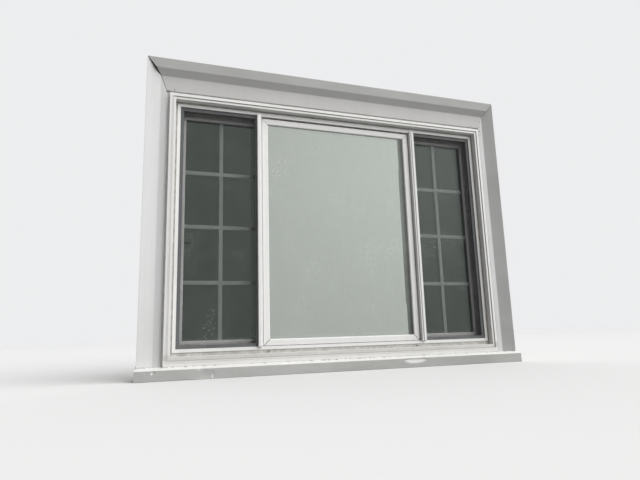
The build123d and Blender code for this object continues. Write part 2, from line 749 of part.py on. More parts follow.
def latch_lever():
    """Lever, spindle and hook, one casting, at rest with the latch open."""
    tip = x_latch - lever_length
    lever = along_y([(x_latch, z_latch - lever_width / 2), (x_latch, z_latch + lever_width / 2),
                     (tip, z_latch + lever_tip_width / 2, lever_tip_width / 3),
                     (tip, z_latch - lever_tip_width / 2, lever_tip_width / 3)],
                    y_lever, y_lever + lever_thickness)
    lever += rod_y(x_latch, z_latch, lever_hub_radius, y_lever, y_lever + lever_thickness)
    y0 = y_sash_mid - hook_plate / 2
    y1 = y_sash_mid + hook_plate / 2
    arm = hook_arm_width / 2
    hook = block(x_latch - arm, x_latch + arm, y0, y1, z_latch - hook_arm, z_latch)
    hook += block(x_latch + arm, x_latch + arm + hook_barb, y0, y1,
                  z_latch - hook_arm, z_latch - hook_arm + hook_barb_thickness)
    hook += rod_y(x_latch, z_latch, hook_hub_radius, y0, y1)
    return lever + hook + rod_y(x_latch, z_latch, spindle_radius, y0, y_lever + lever_thickness)


def latch_escutcheon():
    """Plate under the lever, with the spindle's hole."""
    half = escutcheon_width / 2
    tall = escutcheon_height / 2
    corner = escutcheon_width / 4
    plate = along_y([(x_latch - half, z_latch - tall, corner), (x_latch + half, z_latch - tall, corner),
                     (x_latch + half, z_latch + tall, corner), (x_latch - half, z_latch + tall, corner)],
                    y_sash_back, y_escutcheon)
    return plate - rod_y(x_latch, z_latch, spindle_radius + spindle_clearance, y_sash_back, y_escutcheon)


def latch_keeper():
    """Plate on the jamb with the slot that the hook's barb catches behind."""
    front = x_keeper - keeper_thickness
    low = z_latch - keeper_drop(front - x_latch)
    high = z_latch + keeper_top()
    slot = hook_plate / 2 + 2 * mortise_clearance
    plate = block(front, x_keeper, y_sash_mid - keeper_width / 2, y_sash_mid + keeper_width / 2,
                  low - keeper_margin, high + keeper_margin)
    return plate - block(front, x_keeper, y_sash_mid - slot, y_sash_mid + slot, low, high)


# Insect screens

def screen_opening():
    """Opening inside the right screen's frame: x0, x1, z0, z1."""
    return (x_screen + screen_frame_width, x_screen_outer - screen_frame_width,
            z_screen_bottom + screen_frame_width, z_screen_top - screen_frame_width)


def screen_frame():
    """Rolled aluminium frame with a groove for the spline and a rebate for the mesh."""
    opening = screen_opening()
    groove = screen_groove_inset + screen_groove
    frame = ring(*opening, 0.0, screen_frame_width, y_screen, y_screen_back)
    frame -= ring(*opening, screen_groove_inset, groove, y_screen_back - screen_groove_depth, y_screen_back)
    return frame - ring(*opening, 0.0, screen_groove_inset, y_screen_back - mesh_thickness, y_screen_back)


def screen_mesh():
    """Mesh, flat over the opening and turned down into the groove all round."""
    x0, x1, z0, z1 = screen_opening()
    flat = screen_groove_inset + mesh_thickness
    sheet = block(x0 - flat, x1 + flat, y_screen_back - mesh_thickness, y_screen_back, z0 - flat, z1 + flat)
    return sheet + ring(x0, x1, z0, z1, screen_groove_inset, flat,
                        y_screen_back - screen_groove_depth, y_screen_back)


def screen_spline():
    """Spline pressed in beside the mesh."""
    return ring(*screen_opening(), screen_groove_inset + mesh_thickness,
                screen_groove_inset + screen_groove - spline_clearance,
                y_screen_back - screen_groove_depth, y_screen_back)


# Wood frame, casing and wrap

def sill_line():
    """Outer line of the sill's wrap in (Y, Z), from the slope's top to the hem."""
    return [(y_sill_break, sill_seat_height), (y_nose, sill_front_height), (y_nose, 0.0),
            (y_nose + wrap_hem, 0.0)]


def sill_body():
    """Sill with its wrap, as one solid to cut other pieces against."""
    return along_x(sill_line() + [(y_back, 0.0), (y_back, sill_seat_height)], -x_sill, x_sill)


def wood_sill():
    """Sill in wood, set back under the wrap at the nose and at both ends."""
    under = offset_line(sill_line(), wrap)
    section = under + [(y_nose + wrap_hem, 0.0), (y_back, 0.0), (y_back, sill_seat_height),
                       (y_sill_break, sill_seat_height)]
    return along_x(section, wrap - x_sill, x_sill - wrap)


def sill_cap():
    """Wrap of the sill: nose, slope, hem and closed ends."""
    shell = along_x(sill_line() + [(y_nose + wrap_hem, sill_front_height / 2),
                                   (y_sill_break, sill_front_height / 2)], -x_sill, x_sill)
    return shell - wood_sill()


def wood_jamb():
    """Right wood jamb, with the holes of the installation screws."""
    jamb = block(x_jamb, x_jamb_outer, 0.0, y_back, sill_seat_height, z_head_jamb + wood_thickness)
    for z in screw_z:
        jamb -= rod_x(y_sash_mid, z, screw_hole_radius, x_jamb, x_jamb_outer)
    return jamb


def wood_head():
    """Wood head between the jambs."""
    return block(-x_jamb, x_jamb, 0.0, y_back, z_head_jamb, z_head_jamb + wood_thickness)


def shims():
    """Horseshoe shims between the vinyl frame and the wood jambs, slotted for the screws."""
    pieces = []
    for z in screw_z:
        shim = block(x_frame, x_jamb, y_sash_mid - shim_depth / 2, y_sash_mid + shim_depth / 2,
                     z - shim_height / 2, z + shim_height / 2)
        shim -= block(x_frame, x_jamb, y_sash_mid - shim_slot / 2, y_sash_mid + shim_slot / 2,
                      z - shim_height / 2, z + shim_slot)
        pieces += [shim, to_left(shim)]
    return pieces


def side_line():
    """Outer line of a side casing's wrap in (X, Y), from its inner to its outer edge."""
    return [(x_casing, 0.0), (x_casing, y_casing_flat), (x_casing_flat, y_casing_flat),
            (x_casing_outer, y_casing), (x_casing_outer, 0.0)]


def head_line():
    """Outer line of the head casing's wrap in (Y, Z), from top to bottom."""
    return [(0.0, z_casing_top), (y_casing, z_casing_top), (y_casing, z_casing_bevel),
            (y_casing_flat, z_casing_flat), (y_casing_flat, z_casing), (0.0, z_casing)]


def casing_side(line, gap):
    """Right side casing with its mitred top, standing on the sill."""
    side = along_z(line, sill_front_height, z_casing_top)
    side = trim(side, [(x_casing, 0.0), (x_casing_outer, 0.0), (x_casing_outer, z_casing_top - gap),
                       (x_casing_flat, z_casing_flat - gap), (x_casing, z_casing - gap)])
    return side - sill_body()


def casing_head(line, left_gap, right_gap):
    """Head casing, mitred at both ends."""
    head = along_x(line, -x_casing_outer, x_casing_outer)
    mitre = [(x_casing, z_casing), (x_casing_flat, z_casing_flat), (x_casing_outer, z_casing_top)]
    right = [(x - right_gap, z) for x, z in mitre]
    left = [(left_gap - x, z) for x, z in reversed(mitre)]
    return trim(head, left + right)


def side_board(gap):
    """Wood of a side casing."""
    return casing_side(offset_line(side_line(), wrap), gap + wrap)


def side_cap(gap):
    """Wrap of a side casing, closed at the mitre."""
    return casing_side(side_line(), gap) - side_board(gap)


def head_board():
    """Wood of the head casing."""
    return casing_head(offset_line(head_line(), wrap), left_mitre_gap / 2 + wrap,
                       right_mitre_gap / 2 + wrap)


def head_cap():
    """Wrap of the head casing, closed at both mitres."""
    return casing_head(head_line(), left_mitre_gap / 2, right_mitre_gap / 2) - head_board()


def sealant_bead():
    """Gunned bead between the vinyl frame and the wood, at both sides and the head."""
    profile = [(0.0, -sealant_depth), (sealant_width / 2, -sealant_depth, sealant_skirt),
               (sealant_width, -sealant_skirt), (sealant_width, 0.0), (0.0, 0.0)]
    left, right, bottom, top = mitred_bars(profile, -x_frame, x_frame, sill_seat_height,
                                           z_frame_top, 0.0)
    inside = block(-x_sill, x_sill, y_nose, y_back, sill_seat_height, z_casing_top)
    return (left + top + right) & inside


def cap_nails():
    """Small nails in the wrap near both mitres."""
    z_top = z_casing + nail_edge
    spots = [(x_casing + nail_side_inset, z_top - nail_pitch * row) for row in range(nail_row)]
    spots += [(nail_left_inset - x_casing, z_top), (x_casing - nail_right_inset, z_top)]
    nails = []
    for x, z in spots:
        head = prism_y(x, z, nail_head_radius, y_casing_flat - nail_head_height, y_casing_flat)
        nails.append(head + prism_y(x, z, nail_radius, y_casing_flat, y_casing_flat + nail_length - wrap))
    return nails


def drill(piece, nails):
    """Piece with the nails' holes in it."""
    return piece - nails


parts = {}


def build_frame():
    """Vinyl frame, mullions, track and keepers."""
    jamb = frame_jamb()
    parts["frame_jamb_right"] = jamb
    parts["frame_jamb_left"] = to_left(jamb)
    parts["frame_head"] = frame_head()
    parts["frame_sill"] = frame_sill()
    parts["mullion_right"] = mullion()
    parts["mullion_left"] = to_left(parts["mullion_right"])
    parts["roller_track"] = roller_track()
    keeper = latch_keeper()
    parts["latch_keepers"] = [keeper, to_left(keeper)]


def build_centre():
    """Fixed lite."""
    parts["centre_pane_outer"] = centre_pane(y_glass)
    parts["centre_pane_inner"] = centre_pane(y_stop - pane)
    parts["centre_spacer"] = centre_spacer()
    names = ("bead_left", "bead_right", "bead_bottom", "bead_top")
    for name, bead in zip(names, centre_beads()):
        parts[name] = bead
    parts["setting_blocks"] = setting_blocks()


def build_sashes():
    """Both end sashes and both insect screens."""
    right = {
        "sash_frame": sash_frame(),
        "sash_pane_outer": sash_pane(y_sash_glass),
        "sash_pane_inner": sash_pane(y_sash_glass_back - pane),
        "sash_spacer": sash_spacer(),
        "sash_grid": sash_grid(),
        "sash_beads": sash_beads(),
        "sash_pile": pile_strips(),
        "roller_housings": roller_housings(),
        "roller_wheel_inner": roller_wheel(wheel_x[0]),
        "roller_wheel_outer": roller_wheel(wheel_x[1]),
        "latch_escutcheon": latch_escutcheon(),
        "latch_lever": latch_lever(),
        "screen_frame": screen_frame(),
        "screen_mesh": screen_mesh(),
        "screen_spline": screen_spline(),
    }
    for side, place in (("right", same), ("left", to_left)):
        for name, shape in right.items():
            parts[f"{name}_{side}"] = place(shape)


def build_casing():
    """Wood frame, casing boards, wrap, nails and sealant."""
    nails = cap_nails()
    parts["wood_sill"] = wood_sill()
    parts["sill_cap"] = sill_cap()
    parts["wood_jamb_right"] = wood_jamb()
    parts["wood_jamb_left"] = to_left(wood_jamb())
    parts["wood_head"] = wood_head()
    parts["casing_board_right"] = drill(side_board(right_mitre_gap / 2), nails)
    parts["casing_board_left"] = drill(to_left(side_board(left_mitre_gap / 2)), nails)
    parts["casing_board_head"] = drill(head_board(), nails)
    parts["casing_cap_right"] = drill(side_cap(right_mitre_gap / 2), nails)
    parts["casing_cap_left"] = drill(to_left(side_cap(left_mitre_gap / 2)), nails)
    parts["casing_cap_head"] = drill(head_cap(), nails)
    parts["cap_nails"] = nails
    parts["sealant_bead"] = sealant_bead()
    parts["shims"] = shims()


build_frame()
build_centre()
build_sashes()
build_casing()
for name, shape in parts.items():
    if isinstance(shape, list):
        shape = Compound(children=shape)
    export_step(shape, f"parts/{name}.step")
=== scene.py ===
"""Looks of a wide sliding window in its wood frame and wrapped casing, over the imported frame."""

import functools
import json
import logging
import math
from dataclasses import dataclass, field
from enum import Enum

import bmesh
import bpy
from bmesh.types import BMesh, BMVert
from bpy.types import Material, Node, NodeSocket as Socket, Object, World
from mathutils import Matrix, Vector, noise

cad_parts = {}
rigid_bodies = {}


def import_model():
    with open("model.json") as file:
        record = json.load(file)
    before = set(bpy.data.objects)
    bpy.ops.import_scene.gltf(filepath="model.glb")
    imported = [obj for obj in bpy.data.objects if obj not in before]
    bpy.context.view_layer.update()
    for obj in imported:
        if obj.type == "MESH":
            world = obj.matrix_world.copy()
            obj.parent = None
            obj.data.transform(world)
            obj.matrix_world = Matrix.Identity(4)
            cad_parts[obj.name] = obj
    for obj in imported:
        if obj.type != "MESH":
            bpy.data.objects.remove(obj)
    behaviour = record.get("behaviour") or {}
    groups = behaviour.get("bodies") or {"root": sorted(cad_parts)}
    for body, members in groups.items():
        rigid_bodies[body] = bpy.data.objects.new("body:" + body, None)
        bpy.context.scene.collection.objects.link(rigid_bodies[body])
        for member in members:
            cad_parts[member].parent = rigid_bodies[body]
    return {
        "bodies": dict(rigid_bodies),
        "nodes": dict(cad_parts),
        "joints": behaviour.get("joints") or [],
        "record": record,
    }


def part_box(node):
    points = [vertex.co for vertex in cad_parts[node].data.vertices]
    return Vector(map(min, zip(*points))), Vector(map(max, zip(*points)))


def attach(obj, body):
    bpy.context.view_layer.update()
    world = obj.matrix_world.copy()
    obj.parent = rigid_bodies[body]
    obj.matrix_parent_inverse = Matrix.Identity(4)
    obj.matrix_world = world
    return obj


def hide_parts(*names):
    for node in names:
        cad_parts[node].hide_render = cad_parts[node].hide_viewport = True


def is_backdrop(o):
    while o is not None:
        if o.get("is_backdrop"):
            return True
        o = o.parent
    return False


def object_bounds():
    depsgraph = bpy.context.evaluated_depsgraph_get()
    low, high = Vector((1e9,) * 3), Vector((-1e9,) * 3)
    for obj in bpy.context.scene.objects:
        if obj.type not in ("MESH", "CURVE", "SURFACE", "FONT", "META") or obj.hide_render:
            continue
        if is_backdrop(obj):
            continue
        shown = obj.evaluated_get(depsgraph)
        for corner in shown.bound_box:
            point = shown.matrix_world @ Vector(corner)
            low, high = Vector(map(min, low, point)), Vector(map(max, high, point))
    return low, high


LOG = logging.getLogger("window")
Colour = tuple[float, float, float]
Point = tuple[float, float]
Layer = tuple[Socket, Colour]
Ring = list[BMVert]

EVEN = (1.0, 1.0, 1.0)


class Side(Enum):
    """The two halves of the window, seen from outdoors."""

    LEFT = "left"
    RIGHT = "right"

    @property
    def sign(self) -> float:
        """Direction of this side along X."""
        return 1.0 if self is Side.RIGHT else -1.0


class Grain(Enum):
    """Direction in which a board's grain runs, as the noise's scale along each axis."""

    ACROSS = (1.0, 24.0, 24.0)
    UPRIGHT = (24.0, 24.0, 1.0)


# Materials


@dataclass(frozen=True)
class Patch:
    """Oval or upright rectangle on the front, with the squared distances at which an oval's edge fades."""

    middle: Point
    half: Point
    edge: Point = (0.5, 1.3)


@dataclass(frozen=True)
class Ramp:
    """Way along an axis, in metres, over which something sets in."""

    axis: str
    start: float
    end: float


@dataclass(frozen=True)
class Cloud:
    """Noise in the object's own metres, and the factors between which it sets in."""

    scale: float
    detail: float = 5.0
    stretch: tuple[float, float, float] = EVEN
    rough: float = 0.5
    low: float = 0.3
    high: float = 0.7


class Graph:
    """Node tree of a material or a world, with the few nodes that the looks share."""

    def __init__(self, owner: Material | World,
                 output: str = "ShaderNodeOutputMaterial", place: str = "Object") -> None:
        """Start an empty tree with an output.

        Args:
            owner: Material or world that the tree is for.
            output: Blender's name of its output node.
            place: Coordinates that noise and ramps use.
        """
        owner.use_nodes = True
        self.owner = owner
        self.tree = owner.node_tree
        self.tree.nodes.clear()
        self.output = self.add(output)
        self.place = self.add("ShaderNodeTexCoord").outputs[place]

    def feed(self, target: Socket, value: object) -> None:
        """Link an input, or set it to a constant.

        Args:
            target: The input.
            value: Output socket, node for its first output, number, numbers or colour.
        """
        source = value.outputs[0] if isinstance(value, Node) else value
        if isinstance(source, Socket):
            self.tree.links.new(source, target)
        else:
            target.default_value = (*source, 1.0) if target.type == "RGBA" else source

    def add(self, kind: str, *values: object, **settings: object) -> Node:
        """Add a node.

        Args:
            kind: Blender's name of the node type.
            values: What to feed to its first inputs, in order.
            settings: What to feed to other inputs, by name with underscores for blanks.

        Returns:
            The new node.
        """
        made = self.tree.nodes.new(kind)
        for target, value in zip(made.inputs, values):
            self.feed(target, value)
        for key, value in settings.items():
            self.feed(made.inputs[key.replace("_", " ")], value)
        return made

    def surfaced(self, shader: Node) -> Material | World:
        """Link the last shader to the output, and hand over what the tree is for."""
        self.feed(self.output.inputs["Surface"], shader)
        return self.owner

    def math(self, operation: str, *values: object) -> Socket:
        """Calculate with one or two values.

        Args:
            operation: Blender's name of the operation.
            values: Numbers or sockets.

        Returns:
            The result.
        """
        made = self.add("ShaderNodeMath", *values)
        made.operation = operation
        return made.outputs["Value"]

    def product(self, *factors: object) -> Socket:
        """Product of numbers or sockets."""
        return functools.reduce(functools.partial(self.math, "MULTIPLY"), factors)

    def squares(self, first: Socket, second: Socket) -> Socket:
        """Sum of two squares."""
        return self.math("ADD", self.product(first, first), self.product(second, second))

    def pick(self, switch: Socket, first: object, second: object) -> Socket:
        """First value where the switch is 0, and second value where it is 1."""
        return self.add("ShaderNodeMix", Factor=switch, A=first, B=second).outputs["Result"]

    def blend(self, factor: Socket, first: object, second: object) -> Socket:
        """Mix two colours.

        Args:
            factor: Share of the second colour.
            first: Colour or colour socket.
            second: Colour or colour socket.

        Returns:
            The mixed colour.
        """
        made = self.add("ShaderNodeMix", factor)
        made.data_type = "RGBA"
        targets = [socket for socket in made.inputs if socket.type == "RGBA"]
        for target, value in zip(targets, (first, second)):
            self.feed(target, value)
        return [socket for socket in made.outputs if socket.type == "RGBA"][0]

    def curve(self, factor: Socket, low: float, high: float,
              start: float = 0.0, end: float = 1.0) -> Socket:
        """Map a factor, clamped, so that it is start at low and end at high."""
        return self.add("ShaderNodeMapRange", factor, low, high, start, end).outputs["Result"]

    def along(self, axis: str) -> Socket:
        """Place along one axis in metres."""
        return self.add("ShaderNodeSeparateXYZ", self.place).outputs[axis]

    def fade(self, ramp: Ramp, start: float = 0.0, end: float = 1.0) -> Socket:
        """Value that is start before a ramp and end past it."""
        return self.curve(self.along(ramp.axis), ramp.start, ramp.end, start, end)

    def cloud(self, cloud: Cloud) -> Socket:
        """Noise, as its factor."""
        place = self.add("ShaderNodeMapping", self.place, Scale=cloud.stretch)
        return self.add("ShaderNodeTexNoise", place, Scale=cloud.scale, Detail=cloud.detail,
                        Roughness=cloud.rough).outputs["Fac"]

    def patches(self, cloud: Cloud, start: float = 0.0, end: float = 1.0) -> Socket:
        """Value that is start where a cloud is thin and end where it is thick."""
        return self.curve(self.cloud(cloud), cloud.low, cloud.high, start, end)

    def from_middle(self, patch: Patch) -> list[Socket]:
        """Distances from a patch's middle along X and Z, with their signs."""
        return [self.math("SUBTRACT", self.along(axis), middle) for axis, middle in zip("XZ", patch.middle)]

    def past(self, patch: Patch) -> list[Socket]:
        """Distances past a rectangle's sides, and past its top or bottom."""
        away = [self.math("ABSOLUTE", distance) for distance in self.from_middle(patch)]
        return [self.math("SUBTRACT", distance, half) for distance, half in zip(away, patch.half)]

    def outside(self, patch: Patch) -> Socket:
        """Whether a place lies outside an oval, from 0 to 1."""
        away = [self.math("DIVIDE", *pair) for pair in zip(self.from_middle(patch), patch.half)]
        return self.curve(self.squares(*away), *patch.edge)

    def bump(self, height: Socket, distance: float, strength: float) -> Node:
        """Relief of a height in metres, with the share of it that shows."""
        return self.add("ShaderNodeBump", Height=height, Distance=distance, Strength=strength)


@dataclass(frozen=True)
class Finish:
    """Plain finish with colour drift, uneven gloss and fine relief."""

    name: str
    colour: Colour
    drift: Colour
    roughness: float = 0.4
    spread: float = 0.1
    metallic: float = 0.0
    patch: float = 9.0
    drift_low: float = 0.35
    gloss_fineness: float = 5.0
    grit: float = 900.0
    relief: float = 0.00004
    relief_share: float = 0.6
    stretch: tuple[float, float, float] = EVEN

    def build(self) -> Material:
        """Make the material.

        Returns:
            The finished material.
        """
        graph = Graph(bpy.data.materials.new(self.name))
        tint = self.colour
        for share, over in self.layers(graph):
            tint = graph.blend(share, tint, over)
        gloss = Cloud(self.patch * self.gloss_fineness, detail=4.0, stretch=self.stretch)
        return graph.surfaced(graph.add(
            "ShaderNodeBsdfPrincipled", Base_Color=tint, Metallic=self.metallic, Normal=self.surface(graph),
            Roughness=graph.patches(gloss, self.roughness - self.spread, self.roughness + self.spread)))

    def layers(self, graph: Graph) -> list[Layer]:
        """Colours over the first one, from the bottom up, each after its share."""
        drifting = Cloud(self.patch, stretch=self.stretch, low=self.drift_low)
        return [(graph.patches(drifting), self.drift)]

    def surface(self, graph: Graph) -> Node:
        """Relief of the finish."""
        grit = graph.cloud(Cloud(self.grit, detail=3.0, stretch=self.stretch))
        return graph.bump(grit, self.relief, self.relief_share)


@dataclass(frozen=True)
class WeatheredFinish(Finish):
    """Finish that has stood outdoors: rain streaks, a dusty film low down, and small specks."""

    grime: Colour = (0.36, 0.36, 0.33)
    streak: float = 0.18
    speck: float = 0.35
    dust_top: float = 0.35
    streaks: Cloud = Cloud(60.0, detail=6.0, stretch=(1.0, 1.0, 0.06), rough=0.65, low=0.52, high=0.8)
    specks: Cloud = Cloud(420.0, detail=2.0, low=0.71, high=0.76)
    dust: Cloud = Cloud(26.0, rough=0.6)

    def layers(self, graph: Graph) -> list[Layer]:
        """Layers with rain streaks, specks and dust on top.

        Args:
            graph: Tree to add to.

        Returns:
            The layers, from the bottom up.
        """
        low = graph.fade(Ramp("Z", 0.0, self.dust_top), self.streak, 0.0)
        shares = (graph.patches(self.streaks, 0.0, self.streak), graph.patches(self.specks, 0.0, self.speck),
                  graph.product(low, graph.cloud(self.dust)))
        return super().layers(graph) + [(share, self.grime) for share in shares]


@dataclass(frozen=True)
class RecessShadeFinish(WeatheredFinish):
    """Weathered vinyl with painted shade in a recess that faces outdoors."""

    # colour of the painted shade in the recess
    soil: Colour = (0.25, 0.23, 0.195)
    settled: float = 0.72
    recess: Ramp = Ramp("Y", -0.0005, 0.0018)
    outdoors: Ramp = Ramp("Y", 0.045, 0.03)
    settling: Cloud = Cloud(34.0, rough=0.6, high=0.62)
    settled_least: float = 0.45

    def layers(self, graph: Graph) -> list[Layer]:
        """Layers with painted shade in the recess.

        Args:
            graph: Tree to add to.

        Returns:
            The layers, from the bottom up.
        """
        # painted shade: the vinyl is darkened in patchy clouds from the recess back into the frame
        share = graph.product(
            self.settled, graph.fade(self.recess), graph.fade(self.outdoors),
            graph.patches(self.settling, self.settled_least))
        return [*super().layers(graph), (share, self.soil)]


@dataclass(frozen=True)
class FrameFinish(RecessShadeFinish):
    """Vinyl of the frame, with a darker band on its sill's front, painted shade beside its raised line,
    and painted shade in its weep holes.

    The painted shade beside the line is weaker on the left jamb and the sill, where the line's step
    faces the light.
    """

    # near-black painted shade in the weep holes
    hole: Colour = (0.03, 0.03, 0.028)
    weeps: tuple[Patch, ...] = tuple(Patch((x, 0.0955), (0.0036, 0.0036)) for x in (-0.362, 0.362))
    # darker band on the front of the sill, fainter below
    film: float = 0.42
    film_least: float = 0.5
    film_top: Ramp = Ramp("Z", 0.104, 0.092)
    film_front: Ramp = Ramp("Y", -0.015, -0.02)
    film_clouds: Cloud = Cloud(9.0, stretch=(1.0, 1.0, 3.0), rough=0.65)
    film_rinse: Ramp = Ramp("Z", 0.071, 0.076)
    film_rinsed: float = 0.2
    line: Patch = Patch((0.0, 0.64175), (0.7845, 0.56975))
    line_inner: Point = (-0.005, -0.00125)
    line_outer: Point = (0.0005, 0.0)
    line_front: Ramp = Ramp("Y", -0.0275, -0.0285)
    # the painted shade beside the line is weaker on the left jamb and low down, where the line's step faces
    # the light
    line_wash: Ramp = Ramp("X", -0.7845, -0.7645)
    line_washed: float = 0.45
    line_rinse: Ramp = Ramp("Z", 0.072, 0.076)
    line_rinsed: float = 0.35

    def layers(self, graph: Graph) -> list[Layer]:
        """Layers with the sill's darker band, the painted shade beside the line and the painted shade in the
        holes.

        Args:
            graph: Tree to add to.

        Returns:
            The layers, from the bottom up.
        """
        # darker band on the front of the sill, in patchy clouds, fainter below
        film = graph.product(
            self.film, graph.fade(self.film_top), graph.fade(self.film_front),
            graph.patches(self.film_clouds, self.film_least), graph.fade(self.film_rinse, self.film_rinsed))
        away = graph.math("MAXIMUM", *graph.past(self.line))
        # painted shade in a strip beside the raised line, under its step
        line_shade = graph.product(
            graph.curve(away, *self.line_inner), graph.curve(away, *self.line_outer),
            graph.fade(self.line_front), graph.fade(self.line_wash, self.line_washed),
            graph.fade(self.line_rinse, self.line_rinsed))
        # painted shade: near-black discs in the weep holes
        hole_shades = [(graph.math("SUBTRACT", 1.0, graph.outside(weep)), self.hole) for weep in self.weeps]
        return [*super().layers(graph), (film, self.soil), (line_shade, self.soil), *hole_shades]


@dataclass(frozen=True)
class BeadFinish(WeatheredFinish):
    """Weathered vinyl of the glazing beads, with dirt in their mitres."""

    frame: Patch = Patch((0.0, 0.643), (0.3535, 0.4955))
    line: float = 0.0034
    wash: Ramp = Ramp("Z", 0.1475, 1.1385)
    washed: float = 1.0 / 3.0
    soil: Colour = (0.06, 0.06, 0.055)

    def layers(self, graph: Graph) -> list[Layer]:
        """Layers with dark mitres.

        Args:
            graph: Tree to add to.

        Returns:
            The layers, from the bottom up.
        """
        away = graph.math("ABSOLUTE", graph.math("SUBTRACT", *graph.past(self.frame)))
        dirt = graph.product(graph.curve(away, self.line, 0.0), graph.fade(self.wash, 1.0, self.washed))
        return [*super().layers(graph), (dirt, self.soil)]


@dataclass(frozen=True)
class WrapFinish(WeatheredFinish):
    """Coil-coated wrap with painted shade on one face, and dirt along a joint where it has one.

    The painted shade is lifted in ovals, as painted highlights.
    """

    patch: float = 3.0
    grit: float = 1500.0
    relief: float = 0.00003
    wave: float = 0.0016
    wave_share: float = 0.5
    waves: Cloud = Cloud(7.0, detail=2.0, stretch=(1.0, 1.0, 0.5))
    # colour of the painted shade and of the joint's dirt
    soot: Colour = (0.2, 0.2, 0.19)
    film: float = 0.5
    film_face: Ramp = Ramp("Z", 1.3335, 1.336)
    film_clouds: Cloud = Cloud(2.4, stretch=(1.0, 1.0, 3.0), rough=0.65)
    film_least: float = 0.65
    # ovals where the painted shade is lifted, as painted highlights
    rubbed: tuple[Patch, ...] = ()
    joint: Ramp | None = None
    crumbs: Cloud = Cloud(70.0, stretch=(1.0, 0.4, 1.0), rough=0.7, low=0.54, high=0.6)

    def layers(self, graph: Graph) -> list[Layer]:
        """Layers with the painted shade and the joint's dirt.

        Args:
            graph: Tree to add to.

        Returns:
            The layers, from the bottom up.
        """
        # painted shade over one face, in patchy clouds, lifted in the painted highlights
        film = graph.product(self.film, graph.fade(self.film_face),
                             graph.patches(self.film_clouds, self.film_least),
                             *map(graph.outside, self.rubbed))
        result = [*super().layers(graph), (film, self.soot)]
        if self.joint is not None:
            dirt = graph.product(graph.fade(self.joint), graph.patches(self.crumbs))
            result.append((dirt, self.soot))
        return result

    def surface(self, graph: Graph) -> Node:
        """Slow waves over the fine relief."""
        return graph.add("ShaderNodeBump", Height=graph.cloud(self.waves), Distance=self.wave,
                         Strength=self.wave_share, Normal=super().surface(graph))


@dataclass(frozen=True)
class WoodFinish(Finish):
    """Planed softwood with growth rings along the board, and white primer on its outdoor edge."""

    name: str = "planed_pine"
    colour: Colour = (0.62, 0.46, 0.28)
    drift: Colour = (0.55, 0.38, 0.22)
    roughness: float = 0.62
    relief: float = 0.0002
    relief_share: float = 0.7
    grain: Grain = Grain.ACROSS
    ring: Colour = (0.36, 0.22, 0.11)
    ring_share: float = 0.75
    primer: Colour = (0.82, 0.82, 0.8)
    primer_edge: Ramp = Ramp("Y", 0.0016, 0.0008)

    def layers(self, graph: Graph) -> list[Layer]:
        """Fibres, growth rings and primer.

        Args:
            graph: Tree to add to.

        Returns:
            The layers, from the bottom up.
        """
        fibres = Cloud(9.0, detail=8.0, stretch=self.grain.value, rough=0.6, low=self.drift_low)
        rings = Cloud(2.2, detail=3.0, stretch=self.grain.value, rough=0.45, low=0.42, high=0.58)
        return [(graph.patches(fibres), self.drift),
                (graph.patches(rings, 0.0, self.ring_share), self.ring),
                (graph.fade(self.primer_edge), self.primer)]

    def surface(self, graph: Graph) -> Node:
        """Raised fibres."""
        raised = graph.cloud(Cloud(16.0, detail=8.0, stretch=self.grain.value, rough=0.7))
        return graph.bump(raised, self.relief, self.relief_share)


@dataclass(frozen=True)
class GlassFinish:
    """Tinted float glass that mirrors more at a glancing angle, with a little dust and dried splashes."""

    name: str
    tint: Colour
    dust: Colour = (0.55, 0.56, 0.53)
    dust_share: float = 0.02
    dust_roughness: float = 0.8
    dust_clouds: Cloud = Cloud(14.0, detail=6.0, stretch=(1.0, 1.0, 0.35), rough=0.6, low=0.45, high=0.8)
    splash: float = 0.0
    drops: Cloud = Cloud(160.0, detail=3.0, stretch=(1.0, 0.0, 1.0), rough=0.65, low=0.6, high=0.65)
    flurries: Cloud = Cloud(4.5, detail=3.0, stretch=(1.0, 0.0, 1.0), low=0.54, high=0.62)
    mirror: Colour = (0.92, 0.95, 0.94)
    mirror_roughness: float = 0.02
    gleam: float = 0.055
    gleam_power: float = 5.0
    rolled: Cloud = Cloud(3.0, detail=2.0)
    rolled_height: float = 0.0006
    rolled_share: float = 0.25

    def build(self) -> Material:
        """Make the material.

        Returns:
            The finished material.
        """
        graph = Graph(bpy.data.materials.new(self.name))
        through = graph.add("ShaderNodeBsdfTransparent", Color=self.tint)
        rolled = graph.bump(graph.cloud(self.rolled), self.rolled_height, self.rolled_share)
        shine = graph.add("ShaderNodeBsdfPrincipled", Base_Color=self.mirror, Metallic=1.0,
                          Roughness=self.mirror_roughness, Normal=rolled)
        facing = graph.add("ShaderNodeLayerWeight").outputs["Facing"]
        gleam = graph.curve(graph.math("POWER", facing, self.gleam_power), 0.0, 1.0, self.gleam, 1.0)
        film = graph.add("ShaderNodeBsdfPrincipled", Base_Color=self.dust, Roughness=self.dust_roughness)
        cover = graph.patches(self.dust_clouds, 0.0, self.dust_share)
        if self.splash:
            cover = graph.math("MAXIMUM", cover, graph.product(
                self.splash, graph.patches(self.drops), graph.patches(self.flurries)))
        body = graph.add("ShaderNodeMixShader", gleam, through, shine)
        return graph.surfaced(graph.add("ShaderNodeMixShader", cover, body, film))


# What the vinyl finishes share: their texture, and the tone of fitted and of welded parts
MOULDED = {"spread": 0.08, "patch": 5.0, "grit": 700.0, "relief": 0.00003}
FITTED_WHITE = {"colour": (0.79, 0.785, 0.775), "drift": (0.74, 0.735, 0.72), "roughness": 0.34,
                "streak": 0.14, "speck": 0.3, **MOULDED}
WELDED_WHITE = {"colour": (0.78, 0.775, 0.76), "drift": (0.73, 0.725, 0.71), "roughness": 0.36, **MOULDED}


